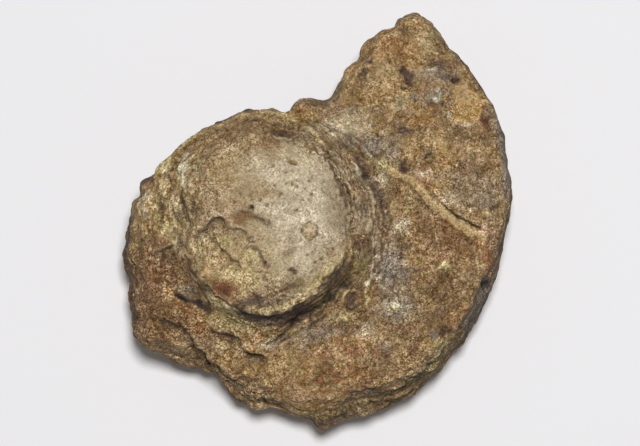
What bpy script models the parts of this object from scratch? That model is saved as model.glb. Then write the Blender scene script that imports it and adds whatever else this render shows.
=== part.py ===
"""Fossil sea snail: the stone mould of a low-spired shell, lying on its base with the spire up.

The stone is one piece. Its form is worked out in millimetres about the axis of the coil, seen from
above: an outline that follows the growth of the last whorl to its broken lip, a flat-topped spire,
a groove round the spire, the swell and keel of the last whorl, and a base with a hollow umbilicus.
Angles turn counterclockwise from +X, the way the whorl grows, and heights are above the ground.
The finished mesh is in metres, with its origin at the bottom centre of its bounding box.
"""

import bpy
import numpy as np
from mathutils import Vector, noise

MM = 0.001

SPIRE_HEIGHT = 24.6
SPIRE_SAG = 2.0  # how far its even curve falls from the middle to the edge
UMBILICUS_DEPTH = 8.5
BASE_SWELL = 3.6  # how far the underside of the last whorl curves up towards its sides
FOOT_CUT = 0.3  # how much of the lowest bulges is worn flat
TRIANGLES = 9300

# The edge of the stone seen from above, as (angle, distance from the axis). It starts at the tip of
# the lip, comes in along the broken mouth and follows the last whorl once round, back to the tip.
OUTLINE = [
    (56.6, 40.5), (57.7, 39.7), (59.4, 38.0), (59.5, 36.1), (61.2, 34.4), (62.4, 33.0), (63.3, 31.0),
    (62.9, 29.4), (64.3, 27.8), (64.6, 25.8), (65.3, 23.0), (66.4, 21.4), (70.7, 20.2), (75.8, 19.8),
    (78.8, 19.1), (81.4, 17.5), (83.2, 17.1), (85.0, 17.5), (88.2, 18.0), (99.4, 18.0), (106.8, 18.0),
    (122.2, 17.9), (136.1, 18.4), (146.0, 18.9), (153.4, 19.5), (158.5, 19.7), (163.0, 19.9), (168.0, 20.6),
    (173.5, 20.9), (184.2, 21.6), (191.0, 22.2), (201.0, 22.7), (206.6, 23.4), (213.0, 24.4), (218.5, 25.4),
    (224.9, 25.1), (228.5, 24.0), (235.3, 23.5), (240.5, 22.5), (244.3, 22.4), (249.9, 22.8), (254.0, 23.8),
    (257.8, 25.1), (262.3, 25.7), (266.0, 26.5), (271.0, 26.4), (278.0, 28.0), (283.3, 28.8), (288.5, 29.5),
    (296.5, 30.3), (304.0, 31.2), (309.3, 31.8), (319.0, 32.9), (326.3, 33.5), (337.0, 33.9), (343.7, 33.9),
    (351.0, 34.8), (359.3, 35.4), (370.0, 36.9), (378.0, 37.8), (383.0, 38.6), (387.0, 39.0), (391.0, 38.8),
    (396.0, 38.9), (400.0, 39.3), (403.1, 39.2), (405.2, 39.0), (409.5, 39.9), (413.6, 40.4),
]  # fmt: skip

# Between these angles a piece of the last whorl is broken off.
LIP_BREAK = (40.0, 70.0)
SIDE_BREAK = (235.0, 255.0)
# The keel as it ran before the lip broke.
WHOLE_LIP = [(44.0, 39.6), (56.0, 40.4), (64.0, 40.6), (73.0, 21.0)]

# Sizes that change round the coil, as (angle, millimetres).
SPIRE_EDGE = [
    (1, 12.0), (15, 11.8), (29, 12.0), (42, 12.5), (52, 12.8), (72, 13.6), (84, 14.8), (107, 15.6),
    (130, 15.6), (146, 14.8), (160, 13.6), (175, 12.4), (190, 12.4), (202, 13.1), (215, 13.7), (239, 13.6),
    (252, 13.7), (265, 14.1), (277, 14.2), (286, 13.9), (295, 13.3), (308, 12.7), (321, 12.5), (335, 12.9),
    (347, 12.4),
]  # fmt: skip
# How far the rim of the spire is rounded down, past its even curve.
SPIRE_SHOULDER = [
    (0, 1.9), (45, 1.8), (90, 1.6), (140, 1.6), (180, 2.4), (205, 1.6), (225, 0.9), (300, 0.8), (330, 1.4),
]  # fmt: skip
GROOVE_RADIUS = [
    (0, 17.0), (30, 17.2), (50, 17.4), (75, 16.8), (90, 16.3), (110, 16.4), (135, 16.6), (150, 16.2),
    (165, 15.4), (190, 14.4), (205, 14.5), (225, 14.5), (250, 14.7), (270, 15.3), (285, 15.1), (300, 14.5),
    (318, 14.8), (335, 15.8),
]  # fmt: skip
GROOVE_HEIGHT = [
    (0, 16.8), (45, 17.6), (75, 18.8), (90, 19.4), (115, 19.6), (140, 19.4), (165, 19.2), (190, 18.6),
    (205, 17.2), (225, 16.4), (250, 15.8), (270, 15.5), (300, 15.4), (330, 16.0),
]  # fmt: skip
CREST_RADIUS = [
    (0, 26.0), (45, 28.5), (58, 28.0), (80, 17.6), (110, 17.0), (140, 17.2), (165, 17.0), (185, 16.8),
    (205, 18.2), (225, 19.2), (250, 18.4), (270, 20.0), (300, 21.5), (330, 23.8),
]  # fmt: skip
CREST_HEIGHT = [
    (0, 19.6), (45, 20.6), (60, 20.4), (80, 19.2), (110, 19.6), (140, 19.2), (165, 18.8), (190, 18.2),
    (215, 17.4), (235, 16.6), (250, 15.9), (270, 16.4), (300, 17.4), (330, 18.6),
]  # fmt: skip
KEEL_HEIGHT = [
    (0, 14.8), (45, 15.6), (62, 17.0), (80, 17.6), (110, 18.0), (140, 17.6), (165, 16.2), (190, 14.6),
    (225, 13.0), (250, 12.0), (270, 12.4), (300, 13.0), (330, 14.0),
]  # fmt: skip
RIM_HEIGHT = [
    (0, 9.8), (45, 10.4), (62, 10.0), (90, 10.8), (135, 10.6), (180, 9.4), (225, 8.6), (270, 8.2), (315, 8.8),
]  # fmt: skip
WALL_WIDTH = [
    (0, 1.8), (40, 2.1), (54, 2.2), (66, 2.0), (76, 1.4), (88, 1.1), (135, 1.1), (155, 1.9), (175, 3.0),
    (185, 3.2), (215, 2.4), (240, 1.3), (262, 1.7), (285, 2.6), (310, 2.8), (330, 2.5), (345, 1.9),
]  # fmt: skip
# How far the wall bulges between the rim and the keel: 0 is a straight slant, 1 a full round.
WALL_BULGE = [
    (0, 0.7), (40, 0.9), (60, 0.6), (100, 1.0), (190, 1.0), (225, 0.5), (260, 0.2), (320, 0.2), (345, 0.4),
]  # fmt: skip
TUCK_WIDTH = [
    (0, 7.0), (30, 6.0), (46, 2.8), (60, 1.8), (70, 2.0), (84, 3.0), (110, 5.0), (150, 6.0), (200, 5.5), (232, 4.0),
    (250, 3.0), (275, 4.5), (310, 6.5),
]  # fmt: skip
BASE_LIFT = [(0, 0.0), (55, 0.2), (80, 2.6), (115, 4.0), (150, 3.4), (185, 1.8), (215, 0.1), (300, 0.0)]
UMBILICUS_EDGE = [(0, 9.4), (40, 10.4), (62, 9.4), (85, 7.4), (130, 6.6), (200, 7.2), (270, 8.0), (320, 8.6)]

# Lines on the upper side, as (x, y) from the axis. At a ledge the ground to the right of the line,
# walking along it, lies lower. A crease is a narrow valley, and a ridge stands up.
LEDGE_SOFTNESS = 0.35
SPIRE_LEDGE_DROP, SPIRE_LEDGE_REACH = 0.6, 2.6
SPIRE_LEDGES = [
    [(-10.8, -2.1), (-9.3, -1.2), (-7.9, 0.1), (-6.9, 0.2), (-5.9, -0.6), (-4.8, -1.5), (-3.2, -2.0), (-1.8, -2.9)],
    [(-6.3, -0.4), (-5.6, 0.8), (-4.8, 1.2), (-3.2, 1.4), (-1.6, 0.6), (-0.1, -0.4), (1.3, -1.0)],
    [(-7.9, -3.0), (-6.9, -3.6), (-5.9, -5.0), (-4.7, -6.0), (-3.4, -6.4)],
    [(-4.0, -4.2), (-2.0, -4.2), (-1.3, -5.0), (-0.5, -6.2), (0.7, -7.0)],
]
SPIRE_CREASE_WIDTH, SPIRE_CREASE_DEPTH = 0.7, 0.55
SPIRE_CREASES = [
    [(-4.6, -11.2), (-3.2, -11.8), (-1.1, -12.2), (1.2, -12.2), (3.0, -11.5)],
    [(-0.6, -10.4), (1.3, -10.0), (3.6, -9.5), (5.6, -8.3)],
    [(-12.4, 4.0), (-11.9, 2.4), (-11.3, 0.6), (-11.4, -0.8)],
]
WHORL_LEDGE_DROP, WHORL_LEDGE_REACH = 1.0, 2.4
WHORL_LEDGES = [
    [(-16.8, -13.6), (-15.2, -14.2), (-13.6, -14.6), (-12.0, -15.8), (-10.8, -17.6), (-8.6, -20.0), (-6.8, -22.6)],
    [(-13.4, -10.2), (-12.0, -10.6), (-10.7, -11.1), (-9.2, -12.2), (-7.6, -13.7), (-5.6, -14.9)],
    [(-8.0, -15.6), (-6.0, -15.9), (-4.4, -16.6), (-3.2, -18.2), (-1.6, -19.1), (0.2, -19.8)],
    [(-6.8, -21.4), (-5.6, -22.6), (-4.2, -22.4), (-2.6, -23.0)],
]
WHORL_CREASE_WIDTH, WHORL_CREASE_DEPTH = 0.8, 0.6
WHORL_CREASES = [
    [(3.8, -16.6), (5.2, -15.8), (6.6, -14.6), (8.4, -13.8), (10.6, -12.4)],
    [(-17.2, -4.1), (-15.6, -3.7), (-13.6, -2.8)],
    [(-16.4, 5.6), (-16.0, 3.6), (-15.6, 1.6), (-16.2, -0.8), (-16.8, -2.6)],
    [(-19.0, 6.4), (-18.6, 3.0), (-19.2, -0.6)],
    [(16.8, 9.4), (17.6, 6.4), (17.2, 3.0), (16.4, -0.6), (15.9, -4.4), (16.0, -8.4)],
]
WHORL_RIDGES = [[(-9.9, -11.4), (-7.9, -13.1), (-5.9, -14.3), (-3.9, -15.0)]]

# The mineral vein across the last whorl. The stone on its lip side stands a little higher.
VEIN = [
    (13.5, 13.2), (15.3, 11.2), (16.6, 9.0), (18.0, 7.2), (21.2, 5.4), (24.7, 2.7), (29.0, 0.0), (33.0, -1.6),
    (35.6, -3.0),
]  # fmt: skip
VEIN_WIDTH, VEIN_RIB, VEIN_STEP, VEIN_STEP_REACH = 0.6, 0.45, 0.8, 3.7

# Bumps and hollows on the upper side, as (x, y, radius, height).
LUMPS = [
    (12.5, -11.3, 2.0, 0.8), (15.2, -10.6, 1.7, 0.5), (-7.2, -5.0, 3.6, 0.5), (-5.4, -9.4, 3.2, 0.35),
    (-2.2, -6.2, 1.8, 0.35), (2.3, 13.3, 2.1, -1.3), (3.5, 9.3, 0.9, -0.4), (-14.4, -11.4, 3.4, 0.7),
    (-9.9, -14.6, 2.6, 0.5), (-14.6, -16.8, 2.6, 0.6), (-6.2, -18.6, 2.8, 0.6), (29.4, 18.4, 3.6, -0.7),
    (21.0, 21.4, 1.8, -0.5), (20.4, 8.0, 1.7, -0.4), (30.0, -4.4, 2.2, -0.4), (24.0, 12.0, 6.0, -0.5),
    (16.0, 20.0, 3.5, 0.5), (30.6, 4.4, 3.4, 0.5), (22.0, -6.0, 5.0, 0.5), (13.0, -19.4, 4.6, 0.5),
    (-19.4, 6.4, 2.2, 0.5), (-17.6, 9.2, 1.9, -0.5), (-18.6, 0.4, 2.6, 0.4), (6.2, 19.2, 1.8, 0.5),
]  # fmt: skip
# Small knobs on the wall, as (x, y, z, radius, height).
KNOBS = [
    (8.3, -28.2, 8.2, 2.3, 1.4), (13.8, -27.2, 9.4, 2.0, 0.6), (-1.8, -26.0, 9.0, 1.7, 0.7),
    (-21.4, 3.4, 9.6, 1.0, 0.7), (-12.6, -21.0, 7.0, 2.6, 0.7), (20.2, 34.0, 13.0, 3.0, 0.5),
]  # fmt: skip

# Random swells over the whole stone, as (size, height), and what is added where it is broken.
SWELLS = [(9.0, 0.7), (4.2, 0.45), (2.3, 0.22)]
BROKEN_SWELL = (2.6, 0.75)
# Wrinkled places: how far apart the wrinkles are, how high, and where they lie as (angle, angle,
# fade) and (radius, radius, fade).
ROPE_SPACING, ROPE_HEIGHT = 2.1, 0.25
ROPE_SECTOR, ROPE_BAND = (-20.0, 45.0, 26.0), (13.0, 16.5, 1.5)
WRINKLE_SPACING, WRINKLE_HEIGHT = 2.3, 0.34
WRINKLE_SECTOR, WRINKLE_BAND = (162.0, 190.0, 15.0), (12.5, 20.5, 2.0)
BED_THICKNESS, BED_STEP, BED_STEP_AT_KEEL = 2.2, 0.15, 0.4
BED_SECTOR = (255.0, 330.0, 30.0)

GRID_CENTRE = np.array([5.0, 0.0])  # every point of the outline is in plain sight of it
AXIS = np.zeros(2)
SPIRE_INSET = 0.4  # the ring of points that stands this far inside the edge of the spire
EDGE_POINTS = 340
SPIRE_ROWS = 22
SLOPE_ROWS = 9
WHORL_ROWS = 26
ROUND_ROWS = 10
BASE_ROWS = 14
FUNNEL_ROWS = 12


def smooth(low, high, x):
    """0 at low and 1 at high, with an even S between, also where low is the larger number."""
    t = np.clip((x - low) / (high - low), 0.0, 1.0)
    return t * t * (3.0 - 2.0 * t)


def within(limits, x):
    """1 between two limits, fading to 0 outside them."""
    start, end, fade = limits
    return smooth(start - fade, start, x) * smooth(end + fade, end, x)


def in_sector(limits, angle):
    """The same for a range of angles, whichever turn they are counted in."""
    middle = (limits[0] + limits[1]) / 2
    return within(limits, (angle - middle + 180.0) % 360.0 + middle - 180.0)


def on_circle(angle, radius):
    turn = np.radians(angle)
    return np.stack([radius * np.cos(turn), radius * np.sin(turn)], axis=-1)


def polar(xy):
    return np.degrees(np.arctan2(xy[..., 1], xy[..., 0])), np.hypot(xy[..., 0], xy[..., 1])


def evened(values, spread, turn=0.0):
    """A closed list of values, averaged over its neighbours. Each full round adds one turn."""
    window = np.hanning(2 * spread + 3)[1:-1]
    padded = np.concatenate([values[-spread:] - turn, values, values[:spread] + turn])
    return np.convolve(padded, window / window.sum(), mode="valid")


def round_coil(table, angle, spread=7):
    """A size from one of the tables at these angles, with the table's corners rounded."""
    steps = np.arange(360.0)
    angles, sizes = zip(*table)
    sampled = evened(np.interp(steps, angles, sizes, period=360.0), spread)
    return np.interp(angle % 360.0, steps, sampled, period=360.0)


def smooth_curve(points, steps=12):
    """The smooth closed curve through these points, with this many steps between each two."""
    pieces = []
    t = np.linspace(0.0, 1.0, steps, endpoint=False)[:, None]
    for i in range(len(points)):
        a, b, c, d = (points[(i + k) % len(points)] for k in (-1, 0, 1, 2))
        square = (2 * a - 5 * b + 4 * c - d) * t**2
        cube = (3 * b - a - 3 * c + d) * t**3
        pieces.append(0.5 * (2 * b + (c - a) * t + square + cube))
    return np.concatenate(pieces + [pieces[0][:1]])


def sight_angles(points):
    sight = points - GRID_CENTRE
    return np.unwrap(np.arctan2(sight[:, 1], sight[:, 0]))


def outline_ring():
    """The points of the outline.

    They are spaced partly by the length of the curve and partly by the angle seen from the grid's
    centre, so that the rays to them stay apart where the curve runs along a ray.
    """
    by_length = 0.3
    fine = smooth_curve(on_circle(*np.array(OUTLINE).T))
    run = np.concatenate([[0.0], np.cumsum(np.linalg.norm(np.diff(fine, axis=0), axis=1))])
    turn = sight_angles(fine)
    place = by_length * run / run[-1] + (1.0 - by_length) * (turn - turn[0]) / (turn[-1] - turn[0])
    place = np.maximum.accumulate(place)
    wanted = np.linspace(0.0, place[-1], EDGE_POINTS, endpoint=False)
    return np.stack([np.interp(wanted, place, fine[:, k]) for k in (0, 1)], axis=-1)


def inward_normals(edge, spread):
    """The unit direction into the stone at each edge point, evened out along the edge."""
    ahead = np.roll(edge, -1, axis=0) - np.roll(edge, 1, axis=0)
    normal = np.stack([-ahead[:, 1], ahead[:, 0]], axis=-1)
    normal = sum(np.roll(normal, k, axis=0) for k in range(-spread, spread + 1))
    return normal / np.linalg.norm(normal, axis=1, keepdims=True)


def towards(ring, table, spread=9):
    """Where rays from the grid's centre to a ring meet the closed line r = table(angle).

    The directions of the rays are evened out and never go back.
    """
    turn = evened(np.maximum.accumulate(sight_angles(ring)), spread, 2 * np.pi)
    near = np.repeat(GRID_CENTRE[None], len(ring), axis=0)
    far = GRID_CENTRE + 60.0 * np.stack([np.cos(turn), np.sin(turn)], axis=-1)
    for _ in range(40):
        middle = (near + far) / 2
        angle, radius = polar(middle)
        inside = (radius < round_coil(table, angle))[:, None]
        near = np.where(inside, middle, near)
        far = np.where(inside, far, middle)
    return near


def whole_radius(angle):
    """The distance from the axis to the keel if nothing were broken off."""
    kept = [(a, r) for a, r in OUTLINE if not LIP_BREAK[0] < a < LIP_BREAK[1]]
    kept = [(a, r) for a, r in kept if not SIDE_BREAK[0] < a < SIDE_BREAK[1] and a < 360 + LIP_BREAK[0]]
    return round_coil(sorted((a % 360, r) for a, r in kept + WHOLE_LIP), angle, spread=4)


def spire_top(angle, radius):
    """Height of the flat-topped spire and of the slope from its edge down to the groove."""
    edge = round_coil(SPIRE_EDGE, angle, spread=4)
    foot = round_coil(GROOVE_RADIUS, angle)
    across = radius / edge
    cap = SPIRE_HEIGHT - SPIRE_SAG * across**2 - round_coil(SPIRE_SHOULDER, angle) * smooth(0.65, 1.05, across)
    fall = smooth(-0.15, 1.1, (radius - edge) / (foot - edge))
    return cap + (round_coil(GROOVE_HEIGHT, angle) - cap) * fall


def whorl_top(angle, radius):
    """Height of the last whorl from the groove over its crest to the keel."""
    foot = round_coil(GROOVE_RADIUS, angle)
    crest = np.maximum(round_coil(CREST_RADIUS, angle), foot + 0.6)
    keel = np.maximum(whole_radius(angle), crest + 1.0)
    foot_z, crest_z, keel_z = (round_coil(t, angle) for t in (GROOVE_HEIGHT, CREST_HEIGHT, KEEL_HEIGHT))
    rising = foot_z + (crest_z - foot_z) * smooth(-0.2, 1.0, (radius - foot) / (crest - foot))
    outside = np.clip((radius - crest) / (keel - crest), 0.0, 1.2)
    return np.where(radius < crest, rising, crest_z - (crest_z - keel_z) * outside**1.8)


def top_height(xy):
    angle, radius = polar(xy)
    foot = round_coil(GROOVE_RADIUS, angle)
    spire, whorl = spire_top(angle, radius), whorl_top(angle, radius)
    return spire + (whorl - spire) * smooth(-0.4, 0.4, radius - foot)


def base_height(xy):
    """Height of the underside: the swell of the last whorl round the hollow, coiled umbilicus."""
    angle, radius = polar(xy)
    inner = round_coil(UMBILICUS_EDGE, angle)
    across = np.clip((radius - inner) / (whole_radius(angle) - inner), 0.0, 1.0)
    swell = BASE_SWELL * np.abs(2.0 * across - 0.9) ** 1.9
    share = radius / inner
    funnel = UMBILICUS_DEPTH * (1.0 - smooth(0.0, 1.25, share))
    coil = np.sin(np.radians(angle) - 4.6 * np.log(share + 0.15))
    return round_coil(BASE_LIFT, angle) + swell + funnel + coil * smooth(1.1, 0.8, share) * smooth(0.0, 0.4, share)


def flat_rows(start, end, shares, height):
    """Rows of points between two rings, each point at the height of the face there."""
    rows = []
    for share in shares:
        xy = start + (end - start) * share
        rows.append(np.column_stack([xy, height(xy)]))
    return rows


def wall_rows(edge, normal, width, bulge, rim, height):
    """Rows from the rim to where the upper or the lower face begins."""
    face = height(edge + normal * width[:, None])
    rows = []
    for straight in np.linspace(0.0, 1.0, ROUND_ROWS + 1)[1:]:
        turn = straight * np.pi / 2
        inward = straight + (1.0 - np.cos(turn) - straight) * bulge
        upward = straight + (np.sin(turn) - straight) * bulge
        xy = edge + normal * (width * inward)[:, None]
        rows.append(np.column_stack([xy, rim + (face - rim) * upward]))
    return rows


def between(count):
    return np.linspace(0.0, 1.0, count + 2)[1:-1]


def stone_rows():
    """The closed rings of points from the top's middle to the base's middle."""
    edge = outline_ring()
    angle, _ = polar(edge)
    rim = round_coil(RIM_HEIGHT, angle)
    wall, bulge = round_coil(WALL_WIDTH, angle), round_coil(WALL_BULGE, angle)
    upper = wall_rows(edge, inward_normals(edge, 5), wall, bulge, rim, top_height)
    full_round = np.ones(EDGE_POINTS)
    lower = wall_rows(edge, inward_normals(edge, 16), round_coil(TUCK_WIDTH, angle), full_round, rim, base_height)
    shoulder, tuck = upper[-1][:, :2], lower[-1][:, :2]
    groove = towards(shoulder, GROOVE_RADIUS)
    turn, _ = polar(groove)
    spire = on_circle(turn, round_coil(SPIRE_EDGE, turn) - SPIRE_INSET)
    funnel = towards(tuck, UMBILICUS_EDGE)
    rows = flat_rows(AXIS, spire, between(SPIRE_ROWS), top_height)
    rows += flat_rows(spire, groove, np.linspace(0.0, 1.0, SLOPE_ROWS), top_height)
    rows += flat_rows(groove, shoulder, between(WHORL_ROWS), top_height)
    rows += upper[::-1] + [np.column_stack([edge, rim])] + lower
    rows += flat_rows(tuck, funnel, between(BASE_ROWS), base_height)
    rows += flat_rows(funnel, AXIS, np.linspace(0.0, 1.0, FUNNEL_ROWS + 1)[:-1], base_height)
    return rows


def stone_grid():
    """All the points, and the faces between the rings."""
    rows = stone_rows()
    top = [*AXIS, top_height(AXIS[None])[0]]
    base = [*AXIS, base_height(AXIS[None])[0]]
    points = np.concatenate([[top], *rows, [base]])
    count, last = EDGE_POINTS, len(points) - 1
    faces = [(0, 1 + k, 1 + (k + 1) % count) for k in range(count)]
    for row in range(len(rows) - 1):
        a, b = 1 + row * count, 1 + (row + 1) * count
        faces += [(a + k, b + k, b + (k + 1) % count, a + (k + 1) % count) for k in range(count)]
    faces += [(last, last - count + (k + 1) % count, last - count + k) for k in range(count)]
    return points, faces


def near_line(line, xy):
    """The distance to a bent line, positive on its left, and a taper that is 0 past its ends."""
    line = np.array(line)
    lengths = np.linalg.norm(np.diff(line, axis=0), axis=1)
    best, side, place = np.full(len(xy), np.inf), np.ones(len(xy)), np.zeros(len(xy))
    run = 0.0
    for a, b, length in zip(line[:-1], line[1:], lengths):
        ahead = (b - a) / length
        along = np.clip((xy - a) @ ahead, 0.0, length)
        gap = xy - a - along[:, None] * ahead
        distance = np.hypot(gap[:, 0], gap[:, 1])
        closer = distance < best
        best = np.where(closer, distance, best)
        side = np.where(closer, np.sign(ahead[0] * gap[:, 1] - ahead[1] * gap[:, 0]), side)
        place = np.where(closer, run + along, place)
        run += length
    end = 0.25 * run
    return best * side, smooth(0.0, end, place) * smooth(run, run - end, place)


def crease(line, xy, width, depth):
    distance, taper = near_line(line, xy)
    return -depth * taper * np.exp(-((distance / width) ** 2))


def ledge(line, xy, drop, reach):
    """A step down to the right of the line that fades out over its reach."""
    distance, taper = near_line(line, xy)
    lower = smooth(LEDGE_SOFTNESS, -LEDGE_SOFTNESS, distance)
    return -drop * taper * lower * np.exp(-((np.minimum(distance, 0.0) / reach) ** 2))


def lumps(xy):
    total = np.zeros(len(xy))
    for x, y, radius, height in LUMPS:
        total += height * smooth(1.3, 0.2, np.hypot(xy[:, 0] - x, xy[:, 1] - y) / radius)
    return total


def knobs(points):
    total = np.zeros(len(points))
    for x, y, z, radius, height in KNOBS:
        total += height * smooth(1.3, 0.1, np.linalg.norm(points - [x, y, z], axis=1) / radius)
    return total


def vein(xy):
    """The low rib of the vein, and the step up from it on the side of the lip."""
    distance, taper = near_line(VEIN, xy)
    rib = VEIN_RIB * np.exp(-((distance / VEIN_WIDTH) ** 2))
    fading = np.exp(-((np.maximum(distance, 0.0) / VEIN_STEP_REACH) ** 2))
    return (rib + VEIN_STEP * smooth(0.1, 1.1, distance) * fading) * taper


def upper_relief(xy):
    total = lumps(xy) + vein(xy)
    total += sum(ledge(line, xy, SPIRE_LEDGE_DROP, SPIRE_LEDGE_REACH) for line in SPIRE_LEDGES)
    total += sum(crease(line, xy, SPIRE_CREASE_WIDTH, SPIRE_CREASE_DEPTH) for line in SPIRE_CREASES)
    total += sum(ledge(line, xy, WHORL_LEDGE_DROP, WHORL_LEDGE_REACH) for line in WHORL_LEDGES)
    total += sum(crease(line, xy, WHORL_CREASE_WIDTH, WHORL_CREASE_DEPTH) for line in WHORL_CREASES)
    total -= sum(crease(line, xy, WHORL_CREASE_WIDTH, WHORL_CREASE_DEPTH) for line in WHORL_RIDGES)
    return total


def swell(points, size, seed):
    """Smooth random swells of about this size, between -1 and 1."""
    offset = Vector((seed * 7.3, seed * 3.1, seed * 5.7))
    return np.array([noise.noise(Vector(p) / size + offset) for p in points])


def ropes(points):
    """Wrinkles that run along the groove on the slope to the right of the spire."""
    angle, radius = polar(points[:, :2])
    outward_per_degree = 0.018
    shift = swell(points, 4.0, 11) * 1.5 - outward_per_degree * angle
    wave = np.cos((radius + shift) * 2 * np.pi / ROPE_SPACING)
    patchy = 0.6 + swell(points, 3.5, 14)
    return ROPE_HEIGHT * wave * patchy * in_sector(ROPE_SECTOR, angle) * within(ROPE_BAND, radius)


def wrinkles(points):
    """Upright wrinkles across the start of the last whorl, at the left of the spire."""
    angle, radius = polar(points[:, :2])
    wave = np.cos((points[:, 0] + swell(points, 4.0, 15) * 1.1) * 2 * np.pi / WRINKLE_SPACING)
    return WRINKLE_HEIGHT * wave * in_sector(WRINKLE_SECTOR, angle) * within(WRINKLE_BAND, radius)


def beds(points, steepness):
    """Thin beds of stone that show on the wall, most of all below the keel."""
    angle, _ = polar(points[:, :2])
    height = (points[:, 2] + swell(points, 9.0, 12) * 1.2) / BED_THICKNESS
    return (BED_STEP + BED_STEP_AT_KEEL * in_sector(BED_SECTOR, angle)) * (height % 1.0 - 0.5) * steepness


def brokenness(points):
    """1 on the broken mouth and on the broken side, 0 elsewhere."""
    angle, radius = polar(points[:, :2])
    mouth = in_sector((56.0, 66.0, 7.0), angle) * smooth(19.0, 22.0, radius)
    side = in_sector((*SIDE_BREAK, 9.0), angle) * smooth(17.0, 21.0, radius)
    return np.maximum(mouth, side)


def add_relief(points, normals):
    """The points moved along their normals by the lumps, ledges, creases and rough places."""
    angle, _ = polar(points[:, :2])
    upper = smooth(-1.0, 2.5, points[:, 2] - round_coil(RIM_HEIGHT, angle))
    steepness = 1.0 - np.abs(normals[:, 2])
    amount = sum(height * swell(points, size, seed) for seed, (size, height) in enumerate(SWELLS, 1))
    amount += BROKEN_SWELL[1] * swell(points, BROKEN_SWELL[0], 8) * brokenness(points) * steepness
    amount += (upper_relief(points[:, :2]) + ropes(points) + wrinkles(points)) * upper
    amount += beds(points, steepness) + knobs(points)
    return points + normals * amount[:, None]


def stone_material():
    material = bpy.data.materials.new("limestone")
    material.use_nodes = True
    shader = material.node_tree.nodes["Principled BSDF"]
    shader.inputs["Base Color"].default_value = (0.30, 0.22, 0.13, 1.0)
    shader.inputs["Roughness"].default_value = 0.9
    return material


def read_points(mesh):
    flat = np.empty(len(mesh.vertices) * 3)
    mesh.vertices.foreach_get("co", flat)
    return flat.reshape(-1, 3)


def read_normals(mesh):
    flat = np.empty(len(mesh.vertices) * 3)
    mesh.vertex_normals.foreach_get("vector", flat)
    return flat.reshape(-1, 3)


def write_points(mesh, points):
    mesh.vertices.foreach_set("co", points.ravel())
    mesh.update()


def full_mesh():
    """The stone in millimetres about the axis, with every row of its grid."""
    points, faces = stone_grid()
    mesh = bpy.data.meshes.new("fossil_snail")
    mesh.from_pydata(points.tolist(), [], faces)
    mesh.materials.append(stone_material())
    points = add_relief(points, read_normals(mesh))
    points[:, 2] = np.maximum(points[:, 2] - FOOT_CUT, 0.0)
    write_points(mesh, points)
    return mesh


def use_fewer_faces(stone):
    """Swap the mesh of the stone for one of the wanted number of triangles."""
    modifier = stone.modifiers.new("fewer_faces", "DECIMATE")
    modifier.ratio = TRIANGLES / (2 * len(stone.data.polygons))
    evaluated = stone.evaluated_get(bpy.context.evaluated_depsgraph_get())
    stone.data = bpy.data.meshes.new_from_object(evaluated)
    stone.modifiers.clear()


def build():
    """Makes the stone, and gives the place of its bounding box's middle from the axis."""
    for obj in list(bpy.data.objects):
        bpy.data.objects.remove(obj)
    stone = bpy.data.objects.new("fossil_snail", full_mesh())
    bpy.context.scene.collection.objects.link(stone)
    use_fewer_faces(stone)
    points = read_points(stone.data)
    points[:, 2] = np.where(points[:, 2] < 0.05, 0.0, points[:, 2])
    middle = (points.min(axis=0) + points.max(axis=0)) / 2
    write_points(stone.data, (points - [middle[0], middle[1], 0.0]) * MM)
    return middle


build()
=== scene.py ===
"""The fossil sea snail, dressed from its CAD solid: fine relief, stone colours and a soft studio light.

The stone's own surface starts from the CAD solid, refined to small even faces. Its relief and its
colours are worked out in millimetres about the axis of the coil, with +X right and +Y towards the lip.
Angles are in degrees, counterclockwise from +X. A seed picks one field of random values out of many.
"""

import math

import bpy
import numpy as np
from mathutils import Euler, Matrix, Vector, noise

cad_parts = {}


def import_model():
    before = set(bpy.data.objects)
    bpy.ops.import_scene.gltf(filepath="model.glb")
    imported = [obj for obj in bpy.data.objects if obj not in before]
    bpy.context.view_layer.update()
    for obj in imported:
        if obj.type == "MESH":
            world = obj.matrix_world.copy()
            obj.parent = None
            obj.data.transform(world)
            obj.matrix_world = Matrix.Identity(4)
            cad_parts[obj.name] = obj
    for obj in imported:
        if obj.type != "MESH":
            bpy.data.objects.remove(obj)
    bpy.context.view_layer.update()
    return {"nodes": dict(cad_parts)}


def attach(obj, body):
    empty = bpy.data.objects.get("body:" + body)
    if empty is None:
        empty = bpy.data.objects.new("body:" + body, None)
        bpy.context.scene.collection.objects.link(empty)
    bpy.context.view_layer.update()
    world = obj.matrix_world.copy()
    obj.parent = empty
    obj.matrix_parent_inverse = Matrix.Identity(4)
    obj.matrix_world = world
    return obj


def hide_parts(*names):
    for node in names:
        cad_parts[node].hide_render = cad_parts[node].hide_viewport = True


MM = 0.001
AXIS = np.array([-7.43, -2.01, 0.0])  # where the coil's axis stands in the CAD frame, in millimetres
FACE_SIZE = 0.27
MOST_TRIANGLES = 196000
EVENING_STEPS = 9
SPIRE_FLANK_STEPS = 60
NEAR_STEPS, FAR_STEPS = 5, 140  # how far the surface is averaged to find its small and its wide hollows
STANDING_HEIGHT = 0.12  # what is lower than this stands on the ground

ROPE_HEIGHT = 0.17
WRINKLE_HEIGHT = 0.17
VEIN_HEIGHT = 0.20
VEIN_FURROW_DEPTH = 0.05
PIT_DEPTH = 0.30
WALL_BED_SPACING = 1.05
WALL_LEDGE_HEIGHT = 0.22
WALL_CRACK_DEPTH = 0.28
WALL_RADIUS = 26.0
STREAKS_RADIUS, STREAKS_START = 15.0, -120.0  # the streaks are measured along the coil from this angle
# How strongly light and shade are painted on the ropes and wrinkles, and shade on the steep sides.
ROPE_SHADE, WRINKLE_SHADE, SIDE_SHADE = 0.6, 0.36, 0.42
# How far the edges of ledges and colours wander, as (reach, size, seed).
WANDER = (1.3, 3.0, 51)
RAGGED = (0.55, 0.95, 53)
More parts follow.
